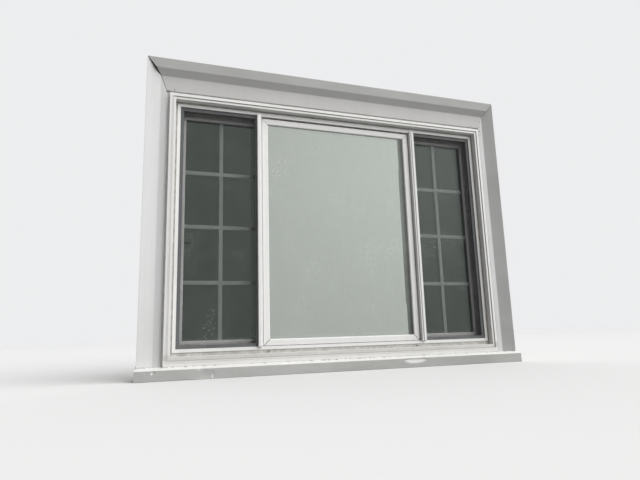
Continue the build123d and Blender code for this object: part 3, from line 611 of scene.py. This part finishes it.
@dataclass(frozen=True)
class WindowFinishes:
    """Every finish of the window."""

    vinyl: Finish = WeatheredFinish("white_vinyl", **FITTED_WHITE)
    bead_vinyl: Finish = BeadFinish("white_bead_vinyl", **FITTED_WHITE)
    frame_vinyl: Finish = FrameFinish("white_frame_vinyl", **WELDED_WHITE)
    # painted shade: the sashes' outdoor faces are darkened, as they lie in shade behind the screens
    sash_vinyl: Finish = RecessShadeFinish(
        "white_sash_vinyl", **WELDED_WHITE, streak=0.2, settled=0.6,
        recess=Ramp("Y", 0.06, 0.053), outdoors=Ramp("Y", 0.06, 0.055))
    # painted shade over the right casing, from its bevel outwards
    wrap: Finish = WrapFinish(
        "white_coil_wrap", (0.605, 0.605, 0.605), (0.57, 0.57, 0.565), roughness=0.42, streak=0.2,
        film=0.45, film_face=Ramp("X", 0.8372, 0.8384))
    # painted shade: the head's wrap is a darker copy of the side wrap, with more painted shade on its
    # fascia, for the shade of an eave
    head_wrap: Finish = WrapFinish(
        "white_head_wrap", (0.515, 0.51, 0.50), (0.485, 0.48, 0.47), roughness=0.45, streak=0.25, speck=0.4)
    # painted shade over the sill's nose, lifted as painted highlights on the knocks; dirt along the seam at
    # the back of its top
    sill_wrap: Finish = WrapFinish(
        "white_sill_wrap", (0.72, 0.715, 0.70), (0.68, 0.675, 0.66), roughness=0.42, streak=0.12, speck=0.4,
        film=0.66, film_face=Ramp("Z", 0.0422, 0.0405), joint=Ramp("Y", -0.044, -0.036),
        rubbed=(Patch((0.313, 0.031), (0.052, 0.0115)), Patch((-0.607, 0.011), (0.004, 0.009)),
                Patch((-0.839, 0.03), (0.004, 0.005))))
    # painted shade: near-black coat on the wraps' end walls, for the shade in the open mitre gaps
    joint_shade: Finish = Finish("open_joint_painted_shade", (0.035, 0.034, 0.032), (0.06, 0.055, 0.05), roughness=0.9)
    glass: GlassFinish = GlassFinish(
        "clear_glass", (0.955, 0.965, 0.96), dust=(0.8, 0.81, 0.78), dust_share=0.035, splash=0.7)
    # painted shade: the inner panes are dimmed to stand for the dim room behind the window, lightly in the
    # centre and strongly in the sashes
    pale_glass: GlassFinish = GlassFinish("pale_glass", (0.765, 0.785, 0.75))
    dark_glass: GlassFinish = GlassFinish("dark_glass", (0.31, 0.335, 0.305))
    spacer: Finish = Finish(
        "spacer_aluminium", (0.52, 0.53, 0.54), (0.42, 0.43, 0.44), roughness=0.42, metallic=0.9)
    aluminium: Finish = Finish(
        "track_aluminium", (0.6, 0.6, 0.61), (0.5, 0.5, 0.51), roughness=0.35, metallic=1.0,
        stretch=(0.05, 1.0, 1.0))
    grid_paint: Finish = Finish("grid_paint", (0.57, 0.6, 0.57), (0.52, 0.55, 0.52), roughness=0.38)
    screen_paint: Finish = WeatheredFinish(
        "screen_frame_paint", (0.125, 0.128, 0.132), (0.105, 0.107, 0.11), roughness=0.5,
        streak=0.2, speck=0.4)
    mesh: Finish = Finish(
        "screen_wire", (0.05, 0.052, 0.058), (0.075, 0.076, 0.08), roughness=0.7, grit=2600.0)
    rubber: Finish = Finish("black_rubber", (0.03, 0.03, 0.03), (0.05, 0.05, 0.05), roughness=0.75)
    sealant: Finish = WeatheredFinish(
        "white_sealant", (0.85, 0.85, 0.83), (0.74, 0.74, 0.72), roughness=0.5, patch=30.0, grit=300.0,
        relief=0.0003, streak=0.3, speck=0.5)
    nail_paint: Finish = Finish(
        "nail_paint", (0.1, 0.085, 0.07), (0.055, 0.04, 0.03), roughness=0.6, patch=400.0)
    steel: Finish = Finish(
        "zinc_steel", (0.55, 0.56, 0.57), (0.4, 0.41, 0.42), roughness=0.38, metallic=1.0, patch=60.0)
    nylon: Finish = Finish("grey_nylon", (0.09, 0.09, 0.095), (0.12, 0.12, 0.125), roughness=0.5)
    latch_paint: Finish = Finish("latch_paint", (0.78, 0.78, 0.77), (0.74, 0.74, 0.73), roughness=0.3)
    pile: Finish = Finish(
        "grey_pile", (0.3, 0.3, 0.31), (0.2, 0.2, 0.21), roughness=0.95, patch=200.0, grit=2500.0,
        relief=0.0004)
    board: Finish = WoodFinish()
    upright_board: Finish = WoodFinish("planed_pine_upright", grain=Grain.UPRIGHT)


@dataclass(frozen=True)
class Paintbox:
    """Builds each finish once and hands it out by the name of its field in the finishes."""

    finishes: WindowFinishes = WindowFinishes()

    @functools.cache
    def get(self, finish: str) -> Material:
        """Material of a finish, built the first time it is asked for."""
        return getattr(self.finishes, finish).build()

    def dress(self, node: Object, finish: str) -> None:
        """Put a finish in every material slot of an object, or in its first.

        Args:
            node: The object.
            finish: Name of the finish.
        """
        if not node.material_slots:
            node.data.materials.append(None)
        for holder in node.material_slots:
            holder.material = self.get(finish)


# Meshes


def circle(parts: int) -> list[Point]:
    """Cosine and sine of even turns round a circle."""
    turns = [math.tau * part / parts for part in range(parts)]
    return [(math.cos(turn), math.sin(turn)) for turn in turns]


def quarter(steps: int) -> list[Point]:
    """Sine and cosine of even turns from 0 to 90 degrees."""
    turns = [math.pi / 2.0 * step / steps for step in range(steps + 1)]
    return [(math.sin(turn), math.cos(turn)) for turn in turns]


def walls(frame: BMesh, rings: list[Ring]) -> None:
    """Join each ring of vertices to the next one by faces.

    Args:
        frame: Mesh being made.
        rings: Rings with the same number of vertices.
    """
    for ring, following in zip(rings, rings[1:]):
        for corners in zip(ring, ring[1:] + ring[:1], following[1:] + following[:1], following):
            frame.faces.new(corners)


def capped(frame: BMesh, rings: list[Ring]) -> None:
    """Closed solid from rings of vertices, with walls and both ends.

    Args:
        frame: Mesh being made.
        rings: Rings with the same number of vertices.
    """
    walls(frame, rings)
    frame.faces.new(rings[0])
    frame.faces.new(rings[-1])
    bmesh.ops.recalc_face_normals(frame, faces=frame.faces)


def finished(frame: BMesh, name: str, smooth: bool = False) -> Object:
    """Object from a mesh that is done.

    Args:
        frame: The mesh, which is freed.
        name: Name of the object and its mesh.
        smooth: Whether its faces are shaded smooth.

    Returns:
        The object, in the scene.
    """
    mesh = bpy.data.meshes.new(name)
    frame.to_mesh(mesh)
    frame.free()
    for face in mesh.polygons:
        face.use_smooth = smooth
    made = bpy.data.objects.new(name, mesh)
    bpy.context.collection.objects.link(made)
    return made


def stand_in(made: Object, body: str, node: str) -> None:
    """Hand over a piece that stands for a CAD node.

    Args:
        made: The piece.
        body: Body that it rides on.
        node: CAD node that it replaces.
    """
    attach(made, body)
    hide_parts(node)
    LOG.info("%s stands for %s, with %d faces", made.name, node, len(made.data.polygons))


def on_line(value: float, corners: list[Point]) -> float:
    """Height of a broken line at a value, level before its first corner.

    Args:
        value: First coordinate, up to the last corner.
        corners: Corners of the line.

    Returns:
        Second coordinate.
    """
    (low, start), (high, end) = next((pair for pair in zip(corners, corners[1:]) if value < pair[1][0]),
                                     corners[-2:])
    return start + max(0.0, (value - low) / (high - low)) * (end - start)


# Sheet metal


def rounded(line: list[Point], radius: float, steps: int = 4) -> list[Point]:
    """Round the corners of an open line, as a brake bends sheet.

    Args:
        line: Corners of the line.
        radius: Distance from a corner at which its bend starts.
        steps: Points in each bend.

    Returns:
        The rounded line.
    """
    result = [line[0]]
    for before, corner, after in zip(line, line[1:], line[2:]):
        here = Vector(corner)
        back = (Vector(before) - here).normalized() * radius
        forth = (Vector(after) - here).normalized() * radius
        shares = [step / steps for step in range(steps + 1)]
        result += [tuple(here + back * (1.0 - share) ** 2 + forth * share ** 2) for share in shares]
    return [*result, line[-1]]


def spaced(line: list[Point], most: float) -> list[Point]:
    """Put points in the long runs of a line.

    Args:
        line: Points of the line.
        most: Longest run left.

    Returns:
        The line with points added.
    """
    result = [line[0]]
    for first, second in zip(line, line[1:]):
        start, end = Vector(first), Vector(second)
        parts = max(1, math.ceil((end - start).length / most))
        result += [tuple(start.lerp(end, part / parts)) for part in range(1, parts + 1)]
    return result


@dataclass
class Dent:
    """Shallow knock in a sheet, creased where folds are asked for."""

    place: Vector
    reach: Vector
    depth: float
    folds: float = 0.0

    def at(self, spot: Vector) -> float:
        """Depth of the dent at a place on the sheet."""
        crease = abs(noise.noise(spot * self.folds)) * 2.0 if self.folds else 1.0
        return self.depth * crease * math.exp(-sum(
            (gap / reach) ** 2 for gap, reach in zip(spot - self.place, self.reach)))


@dataclass
class Scallop:
    """Fan-shaped knock in the sill's nose: deep under the top edge, and level with the nose at its foot."""

    middle: float
    half: float
    top: float
    height: float
    depth: float
    front: float = -0.0655
    lip: float = 0.0015

    def at(self, spot: Vector) -> float:
        """Depth of the knock at a place.

        Args:
            spot: Place on the sheet.

        Returns:
            Depth in metres.
        """
        across = (spot.x - self.middle) / self.half
        if abs(across) >= 1.0 or spot.y > self.front:
            return 0.0
        fan = math.sqrt(1.0 - across * across)
        down = (self.top - spot.z) / (self.height * fan)
        share = 1.0 - down if down >= 0.0 else 1.0 - (spot.z - self.top) / self.lip
        return max(0.0, share) * self.depth * fan


@dataclass
class Stray:
    """Inner edge of a side casing's wrap, which strays towards the window."""

    side: Side
    inner: float
    play: float = 0.0022
    reach: float = 0.010
    pitch: float = 11.0

    def at(self, spot: Vector) -> Vector:
        """Shift of the wrap at a place.

        Args:
            spot: Place on the sheet.

        Returns:
            The shift.
        """
        near = max(0.0, 1.0 - (abs(spot.x) - self.inner) / self.reach)
        drift = 0.5 + 0.5 * noise.noise(Vector((self.side.sign, 0.0, spot.z * self.pitch)))
        return Vector((-self.side.sign * self.play * near * drift, 0.0, 0.0))


@dataclass
class BentSheet:
    """Bent sheet that runs straight between two ends, thin, slightly wavy and dented.

    Its free edges, behind front or under low, keep their place.
    """

    name: str
    ends: list[tuple[Vector, Vector]]
    stations: int
    front: float
    back: float
    low: float = 0.0
    push: Vector = Vector((0.0, 1.0, 0.0))
    closed: tuple[int, ...] = (0, -1)
    shaded: bool = True
    thickness: float = 0.0005
    weld: float = 0.00001
    crease: float = 40.0
    wave: float = 0.0005
    pitch: float = 6.0
    dents: tuple[Dent | Scallop, ...] = ()
    stray: Stray | None = None

    def build(self) -> Object:
        """Make the sheet.

        Returns:
            The sheet as an object, with its thickness given by a modifier.
        """
        frame = bmesh.new()
        shares = [station / self.stations for station in range(self.stations + 1)]
        rows = [[frame.verts.new(self.pressed(Vector([a + (b - a) * share for a, b in zip(start, end)])))
                 for start, end in self.ends] for share in shares]
        for row, following in zip(rows, rows[1:]):
            for corners in zip(row, row[1:], following[1:], following):
                frame.faces.new(corners)
        for end in self.closed:
            self.close(frame, rows[end])
        bmesh.ops.remove_doubles(frame, verts=frame.verts, dist=self.weld)
        bmesh.ops.recalc_face_normals(frame, faces=frame.faces)
        made = finished(frame, self.name, smooth=True)
        made.data.set_sharp_from_angle(angle=math.radians(self.crease))
        last = len(self.ends) - 1
        middle = made.data.polygons[self.stations // 2 * last + (last + 1) // 2 - 1]
        if middle.normal.dot(self.push) > 0.0:
            made.data.flip_normals()
        thick = made.modifiers.new("thickness", "SOLIDIFY")
        thick.thickness = self.thickness
        thick.offset = -1.0
        return made

    def pressed(self, place: Vector) -> Vector:
        """Place of a point of the sheet, pushed in by waves and dents.

        Args:
            place: Its place on the straight sheet.

        Returns:
            The place.
        """
        if self.stray is not None:
            place = place + self.stray.at(place)
        if place.y > self.front or place.z < self.low:
            return place
        depth = self.wave * (0.5 + 0.5 * noise.noise(place * self.pitch))
        return place + self.push * (depth + sum(dent.at(place) for dent in self.dents))

    def close(self, frame: BMesh, row: Ring) -> None:
        """Wall from one end of the sheet to the plane behind it.

        Args:
            frame: Mesh being made.
            row: Vertices of that end.
        """
        behind = [frame.verts.new((v.co.x, self.back, v.co.z)) for v in row]
        for a, b, c, d in zip(row, row[1:], behind[1:], behind):
            if (a.co - d.co).length > self.thickness or (b.co - c.co).length > self.thickness:
                # a shaded sheet's end walls take its second material, the painted shade of the open joint
                frame.faces.new((a, b, c, d)).material_index = int(self.shaded)


@dataclass
class CasingWrap:
    """Bent wrap over the side casings, the head casing and the sill's nose."""

    inner: float = 0.814
    flat: float = 0.838
    outer: float = 0.8975
    flat_reach: float = 0.014
    outer_reach: float = 0.038
    head_bottom: float = 1.241
    head_flat: float = 1.308
    head_bevel: float = 1.335
    head_top: float = 1.382
    head_room: float = 0.0003
    sill_half: float = 0.9045
    sill_foot: float = 0.0005
    sill_nose: float = 0.067
    sill_front: float = 0.042
    sill_seat: float = 0.051
    sill_break: float = 0.032
    sill_push: Vector = Vector((0.0, 0.8, -0.6))
    sill_pitch: float = 9.0
    hem: float = 0.014
    bend: float = 0.0012
    casing_edge: float = 0.0048
    sill_edge: float = 0.0036
    left_gap: float = 0.0015
    right_gap: float = 0.0005
    left_wave: float = 0.0006
    right_wave: float = 0.0004
    foot: float = 0.0012
    seam: float = 0.0305
    casing_spacing: float = 0.006
    sill_spacing: float = 0.0025
    side_stations: int = 180
    head_stations: int = 220
    sill_stations: int = 560
    dents: tuple[Dent | Scallop, ...] = (
        Dent(Vector((-0.841, -0.067, 0.036)), Vector((0.021, 0.03, 0.011)), depth=0.0045, folds=110.0),
        Dent(Vector((-0.637, -0.067, 0.018)), Vector((0.028, 0.03, 0.02)), depth=0.003),
        Dent(Vector((-0.610, -0.067, 0.012)), Vector((0.005, 0.03, 0.014)), depth=0.0035, folds=90.0),
        Dent(Vector((-0.655, -0.067, 0.041)), Vector((0.01, 0.02, 0.005)), depth=0.003),
        Scallop(middle=0.313, half=0.062, top=0.0400, height=0.028, depth=0.0055))

    def side(self, side: Side) -> Object:
        """Wrap of one side casing.

        Args:
            side: Which side.

        Returns:
            The wrap's object.
        """
        left = side is Side.LEFT
        gap = self.left_gap if left else self.right_gap
        line = rounded([
            (self.inner, 0.0), (self.inner, -self.flat_reach), (self.flat, -self.flat_reach),
            (self.outer, -self.outer_reach), (self.outer, 0.0)], self.bend)
        mitre = [(self.inner, self.head_bottom), (self.flat, self.head_flat), (self.outer, self.head_top)]
        sill = [(self.sill_break, self.sill_seat), (self.sill_nose, self.sill_front)]
        ends = [(Vector((side.sign * x, y, on_line(-y, sill) - self.foot)),
                 Vector((side.sign * x, y, on_line(x, mitre) - gap)))
                for x, y in spaced(line, self.casing_spacing)]
        return BentSheet(f"casing_wrap_{side.value}", ends, self.side_stations, -self.casing_edge, back=0.0,
                         closed=(-1,), wave=self.left_wave if left else self.right_wave,
                         stray=Stray(side, self.inner)).build()

    def head(self) -> Object:
        """Wrap of the head casing.

        Returns:
            The wrap's object.
        """
        top = self.head_top - self.head_room
        line = rounded([
            (0.0, top), (-self.outer_reach, top), (-self.outer_reach, self.head_bevel),
            (-self.flat_reach, self.head_flat), (-self.flat_reach, self.head_bottom),
            (0.0, self.head_bottom)], self.bend)
        mitre = [(self.head_bottom, self.inner), (self.head_flat, self.flat), (self.head_top, self.outer)]
        ends = [(Vector((self.left_gap - on_line(z, mitre), y, z)),
                 Vector((on_line(z, mitre) - self.right_gap, y, z)))
                for y, z in spaced(line, self.casing_spacing)]
        return BentSheet("casing_wrap_head", ends, self.head_stations, -self.casing_edge, back=0.0).build()

    def sill(self) -> Object:
        """Wrap of the sill's nose, with the knocks that it has taken.

        Returns:
            The wrap's object.
        """
        line = rounded([
            (-self.seam, self.sill_seat), (-self.sill_break, self.sill_seat),
            (-self.sill_nose, self.sill_front), (-self.sill_nose, self.sill_foot),
            (self.hem - self.sill_nose, self.sill_foot)], self.bend)
        ends = [(Vector((-self.sill_half, y, z)), Vector((self.sill_half, y, z)))
                for y, z in spaced(line, self.sill_spacing)]
        return BentSheet("sill_wrap", ends, self.sill_stations, -self.sill_break - self.sill_edge,
                         back=-self.sill_break, low=self.sill_edge, push=self.sill_push, shaded=False,
                         pitch=self.sill_pitch, dents=self.dents).build()

    def build(self, paint: Paintbox) -> None:
        """Make and dress every wrap.

        Args:
            paint: Finishes.
        """
        for piece, node, finish in (
                (self.side(Side.LEFT), "casing_cap_left", "wrap"),
                (self.side(Side.RIGHT), "casing_cap_right", "wrap"),
                (self.head(), "casing_cap_head", "head_wrap"), (self.sill(), "sill_cap", "sill_wrap")):
            # the second coat is the painted shade of the open mitre gaps, on the end walls
            for coat in (finish, "joint_shade"):
                piece.data.materials.append(paint.get(coat))
            stand_in(piece, "window_frame", node)


# Sill, nails and sealant


@dataclass
class SillTimber:
    """Wood sill, set back under its wrap so that the knocks in the wrap have room."""

    half: float = 0.9015
    nose: float = 0.0612
    hem: float = 0.053
    hem_lift: float = 0.0008
    front: float = 0.0382
    shoulder: float = 0.030
    slope_top: float = 0.0472
    seat: float = 0.051
    back: float = 0.084
    stations: int = 40
    arris: float = 0.0006
    arris_steps: int = 2

    def build(self, paint: Paintbox) -> None:
        """Make and dress the timber.

        Args:
            paint: Finishes.
        """
        section = [(-self.nose, self.hem_lift), (-self.nose, self.front), (-self.shoulder, self.slope_top),
                   (-self.shoulder, self.seat), (self.back, self.seat), (self.back, 0.0), (-self.hem, 0.0),
                   (-self.hem, self.hem_lift)]
        frame = bmesh.new()
        shares = [2.0 * station / self.stations - 1.0 for station in range(self.stations + 1)]
        capped(frame, [[frame.verts.new((self.half * share, y, z)) for y, z in section] for share in shares])
        made = finished(frame, "sill_timber")
        soft = made.modifiers.new("arris", "BEVEL")
        soft.width = self.arris
        soft.segments = self.arris_steps
        soft.limit_method = "ANGLE"
        paint.dress(made, "board")
        stand_in(made, "window_frame", "wood_sill")


@dataclass
class NailHeads:
    """Small domed nails in the wrap, near both mitres."""

    front: float = -0.014
    radius: float = 0.0024
    dome: float = 0.0009
    shank: float = 0.0012
    length: float = 0.013
    height: float = 1.247
    side_x: float = 0.822
    pitch: float = 0.0235
    side_count: int = 3
    head_x: tuple[float, ...] = (-0.779, 0.767)
    segments: int = 20
    steps: int = 4

    def build(self, paint: Paintbox) -> None:
        """Make and dress the nails, beside the right mitre and on the head.

        Args:
            paint: Finishes.
        """
        places = [(self.side_x, self.height - self.pitch * row) for row in range(self.side_count)]
        places += [(x, self.height) for x in self.head_x]
        profile = [(self.radius * sine, self.front - self.dome * cosine)
                   for sine, cosine in quarter(self.steps)[1:]]
        profile += [(self.shank, self.front), (self.shank, self.front + self.length)]
        frame = bmesh.new()
        for x, z in places:
            capped(frame, [[frame.verts.new((x + reach * cosine, y, z + reach * sine))
                            for cosine, sine in circle(self.segments)] for reach, y in profile])
        made = finished(frame, "nail_heads")
        paint.dress(made, "nail_paint")
        stand_in(made, "window_frame", "cap_nails")


@dataclass
class SealantRun:
    """Gunned bead round the vinyl frame, uneven along its length."""

    half: float = 0.799
    low: float = 0.051
    high: float = 1.226
    width: float = 0.008
    depth: float = 0.0115
    swell: float = 0.0012
    width_pitch: float = 55.0
    depth_pitch: float = 38.0
    depth_offset: Vector = Vector((9.0, 0.0, 0.0))
    step: float = 0.006
    arc: int = 8

    def route(self) -> list[tuple[Vector, Vector]]:
        """Points along the bead, with the direction away from the vinyl at each.

        Returns:
            Pairs of place and outward direction.
        """
        corners = [Vector((x, 0.0, z)) for x, z in (
            (-self.half, self.low), (-self.half, self.high), (self.half, self.high), (self.half, self.low))]
        outward = [Vector((-1.0, 0.0, 0.0)), Vector((0.0, 0.0, 1.0)), Vector((1.0, 0.0, 0.0))]
        points = [(corners[0], outward[0])]
        for start, end, away, turned in zip(corners, corners[1:], outward, outward[1:] + [Vector()]):
            parts = max(2, round((end - start).length / self.step))
            points += [(start.lerp(end, part / parts), away) for part in range(1, parts)]
            points.append((end, away + turned))
        return points

    def build(self, paint: Paintbox) -> None:
        """Make and dress the bead.

        Args:
            paint: Finishes.
        """
        frame = bmesh.new()
        rings = []
        for place, away in self.route():
            width = self.width - self.swell + noise.noise(place * self.width_pitch) * self.swell
            lump = noise.noise(place * self.depth_pitch + self.depth_offset) * self.swell
            forward = Vector((0.0, -(self.depth - self.swell + lump), 0.0))
            arc = [place + away * width * sine + forward * cosine for sine, cosine in quarter(self.arc)]
            rings.append([frame.verts.new(spot) for spot in (place, *arc)])
        capped(frame, rings)
        made = finished(frame, "sealant_run", smooth=True)
        paint.dress(made, "sealant")
        stand_in(made, "window_frame", "sealant_bead")


# Insect screens


@dataclass
class ScreenWeave:
    """Insect mesh of single four-sided wires, upright ones behind level ones."""

    side: Side
    wire: float = 0.00027
    pitch: float = 0.00145
    rise: float = 0.00022
    set_back: float = 0.0004

    def build(self, paint: Paintbox) -> None:
        """Make and dress the mesh of one screen.

        Args:
            paint: Finishes.
        """
        node = f"screen_mesh_{self.side.value}"
        low, high = (Vector(corner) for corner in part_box(node))
        right, up = Vector((1.0, 0.0, 0.0)), Vector((0.0, 0.0, 1.0))
        frame = bmesh.new()
        deep = Vector((0.0, self.wire / 2.0, 0.0))
        for across, along, y in ((right, up, high.y - self.set_back),
                                 (up, right, high.y - self.set_back - self.rise)):
            half = across * self.wire / 2.0
            run = along * (high - low).dot(along)
            for index in range(int((high - low).dot(across) / self.pitch)):
                start = Vector((low.x, y, low.z)) + across * (index + 0.5) * self.pitch
                walls(frame, [[frame.verts.new(end + offset) for offset in (half, deep, -half, -deep)]
                              for end in (start, start + run)])
        made = finished(frame, f"screen_weave_{self.side.value}")
        paint.dress(made, "mesh")
        stand_in(made, f"screen_{self.side.value}", node)


# CAD nodes


@dataclass
class CadDress:
    """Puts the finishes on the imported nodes."""

    special: dict[str, str] = field(default_factory=lambda: {
        "wood_jamb": "upright_board", "casing_board_left": "upright_board",
        "casing_board_right": "upright_board", "centre_pane_inner": "pale_glass",
        "sash_pane_inner": "dark_glass", "bead_": "bead_vinyl", "frame_": "frame_vinyl",
        "sash_frame": "sash_vinyl", "wood_": "board", "casing_board_head": "board", "shims": "board"})

    def finish_of(self, name: str, slot: str) -> str:
        """Finish of a node: the first special one that its name starts with, or else its slot's."""
        return next((finish for start, finish in self.special.items() if name.startswith(start)), slot)

    def build(self, frame: dict, paint: Paintbox) -> None:
        """Dress every node.

        Args:
            paint: Finishes.
        """
        slots = {entry["node"]: entry["material_slot"] for entry in frame["record"]["subparts"]}
        for name, node in frame["nodes"].items():
            finish = self.finish_of(name, slots[name])
            paint.dress(node, finish)
            LOG.info("%s dressed as %s", name, finish)


# Studio


@dataclass
class Studio:
    """Floor, surround, light and camera."""

    eye: Vector = Vector((-0.855, -2.156, 0.166))
    forward: Vector = Vector((0.320, 0.930, 0.184))
    right: Vector = Vector((0.947, -0.320, -0.029))
    focal: float = 28.04
    sensor: float = 36.0
    clip: float = 0.05
    floor_shown: Colour = (0.64, 0.64, 0.635)
    floor_far: Colour = (0.61, 0.61, 0.615)
    floor_bounce: Colour = (0.24, 0.24, 0.238)
    floor_roughness: float = 0.9
    floor_radii: tuple[float, ...] = (60.0, 30.0, 12.0, 5.0, 2.0)
    floor_parts: int = 96
    floor_fade: Point = (2.5, 14.0)
    sun_strength: float = 4.55
    sun_softness: float = 78.0
    sun_from: Vector = Vector((0.55, -0.52, 0.66))
    sky_tint: Colour = (0.985, 0.99, 1.0)
    sky_rise: Ramp = Ramp("Z", 0.0, 0.7)
    sky_low: float = 0.06
    sky_high: float = 0.36
    behind_rise: Ramp = Ramp("Y", 0.1, 0.6)
    sky_behind: float = 0.8
    mirrored_rise: Ramp = Ramp("Z", 0.02, 0.3)
    mirrored_low: float = 0.3
    mirrored_high: float = 0.95
    backdrop_shown: float = 0.86
    shade: Ramp = Ramp("X", 0.12, 0.5)
    sky_shade: float = 0.55
    mirrored_shade: float = 0.22

    def build(self) -> None:
        """Set the stage."""
        for part in (self.floor, self.sun, self.sky, self.camera):
            part()
            LOG.info("%s set", part.__name__)

    def floor(self) -> None:
        """Pale round floor that reaches the horizon."""
        frame = bmesh.new()
        rings = [[frame.verts.new((radius * cosine, radius * sine, 0.0))
                  for cosine, sine in circle(self.floor_parts)] for radius in self.floor_radii]
        walls(frame, rings)
        frame.faces.new(rings[-1])
        made = finished(frame, "floor")
        made.data.materials.append(self.floor_paint())
        made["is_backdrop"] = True

    def floor_paint(self) -> Material:
        """Pale where it is seen, and duller where it is mirrored or only throws light back.

        Returns:
            The floor's material.
        """
        graph = Graph(bpy.data.materials.new("studio_floor"))
        rays = graph.add("ShaderNodeLightPath").outputs
        seen = graph.math("MAXIMUM", rays["Is Camera Ray"], rays["Is Transmission Ray"])
        away = graph.math("SQRT", graph.squares(graph.along("X"), graph.along("Y")))
        shown = graph.blend(graph.curve(away, *self.floor_fade), self.floor_shown, self.floor_far)
        return graph.surfaced(graph.add(
            "ShaderNodeBsdfPrincipled", Base_Color=graph.blend(seen, self.floor_bounce, shown),
            Roughness=self.floor_roughness, Specular_IOR_Level=0.0))

    def sun(self) -> None:
        """One broad lamp from the upper right."""
        light = bpy.data.lights.new("key", "SUN")
        light.energy = self.sun_strength
        light.angle = math.radians(self.sun_softness)
        made = bpy.data.objects.new("key", light)
        made.rotation_euler = self.sun_from.to_track_quat("Z", "Y").to_euler()
        made.visible_glossy = False
        bpy.context.collection.objects.link(made)

    def sky(self) -> None:
        """Soft light from above and from indoors, dimmer on the left, and a pale surround."""
        graph = Graph(bpy.data.worlds.new("studio"), "ShaderNodeOutputWorld", "Generated")
        rays = graph.add("ShaderNodeLightPath").outputs
        above = graph.product(graph.fade(self.sky_rise, self.sky_low, self.sky_high),
                              graph.fade(self.shade, self.sky_shade))
        light = graph.math("ADD", above, graph.fade(self.behind_rise, 0.0, self.sky_behind))
        shine = graph.product(graph.fade(self.mirrored_rise, self.mirrored_low, self.mirrored_high),
                              graph.fade(self.shade, self.mirrored_shade))
        lit = graph.pick(rays["Is Glossy Ray"], light, shine)
        bpy.context.scene.world = graph.surfaced(graph.add(
            "ShaderNodeBackground", self.sky_tint,
            graph.pick(rays["Is Camera Ray"], lit, self.backdrop_shown)))

    def camera(self) -> None:
        """Camera at the photograph's place."""
        lens = bpy.data.cameras.new("camera")
        lens.lens = self.focal
        lens.sensor_width = self.sensor
        lens.sensor_fit = "HORIZONTAL"
        lens.clip_start = self.clip
        made = bpy.data.objects.new("camera", lens)
        ahead = self.forward.normalized()
        side = (self.right - ahead * self.right.dot(ahead)).normalized()
        turn = Matrix((side, side.cross(ahead), -ahead)).transposed().to_4x4()
        made.matrix_world = Matrix.Translation(self.eye) @ turn
        bpy.context.collection.objects.link(made)
        bpy.context.scene.camera = made


@dataclass
class SizeNote:
    @staticmethod
    def plain(bounds: object) -> list[list[float]]:
        """Two corners as plain lists of numbers."""
        return [[round(float(value), 5) for value in corner] for corner in bounds]

    def write(self, before: object, after: object) -> None:
        """Take the CAD model's box and the visual model's box, and do nothing with them."""


def main() -> None:
    """Dress the window and set the stage."""
    logging.basicConfig(level=logging.INFO, format="%(name)s: %(message)s")
    bpy.context.scene.view_settings.view_transform = "Standard"
    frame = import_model()
    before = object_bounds()
    paint = Paintbox()
    CadDress().build(frame, paint)
    SillTimber().build(paint)
    CasingWrap().build(paint)
    NailHeads().build(paint)
    SealantRun().build(paint)
    for side in Side:
        ScreenWeave(side).build(paint)
    Studio().build()
    SizeNote().write(before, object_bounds())


if __name__ == "__main__":
    main()
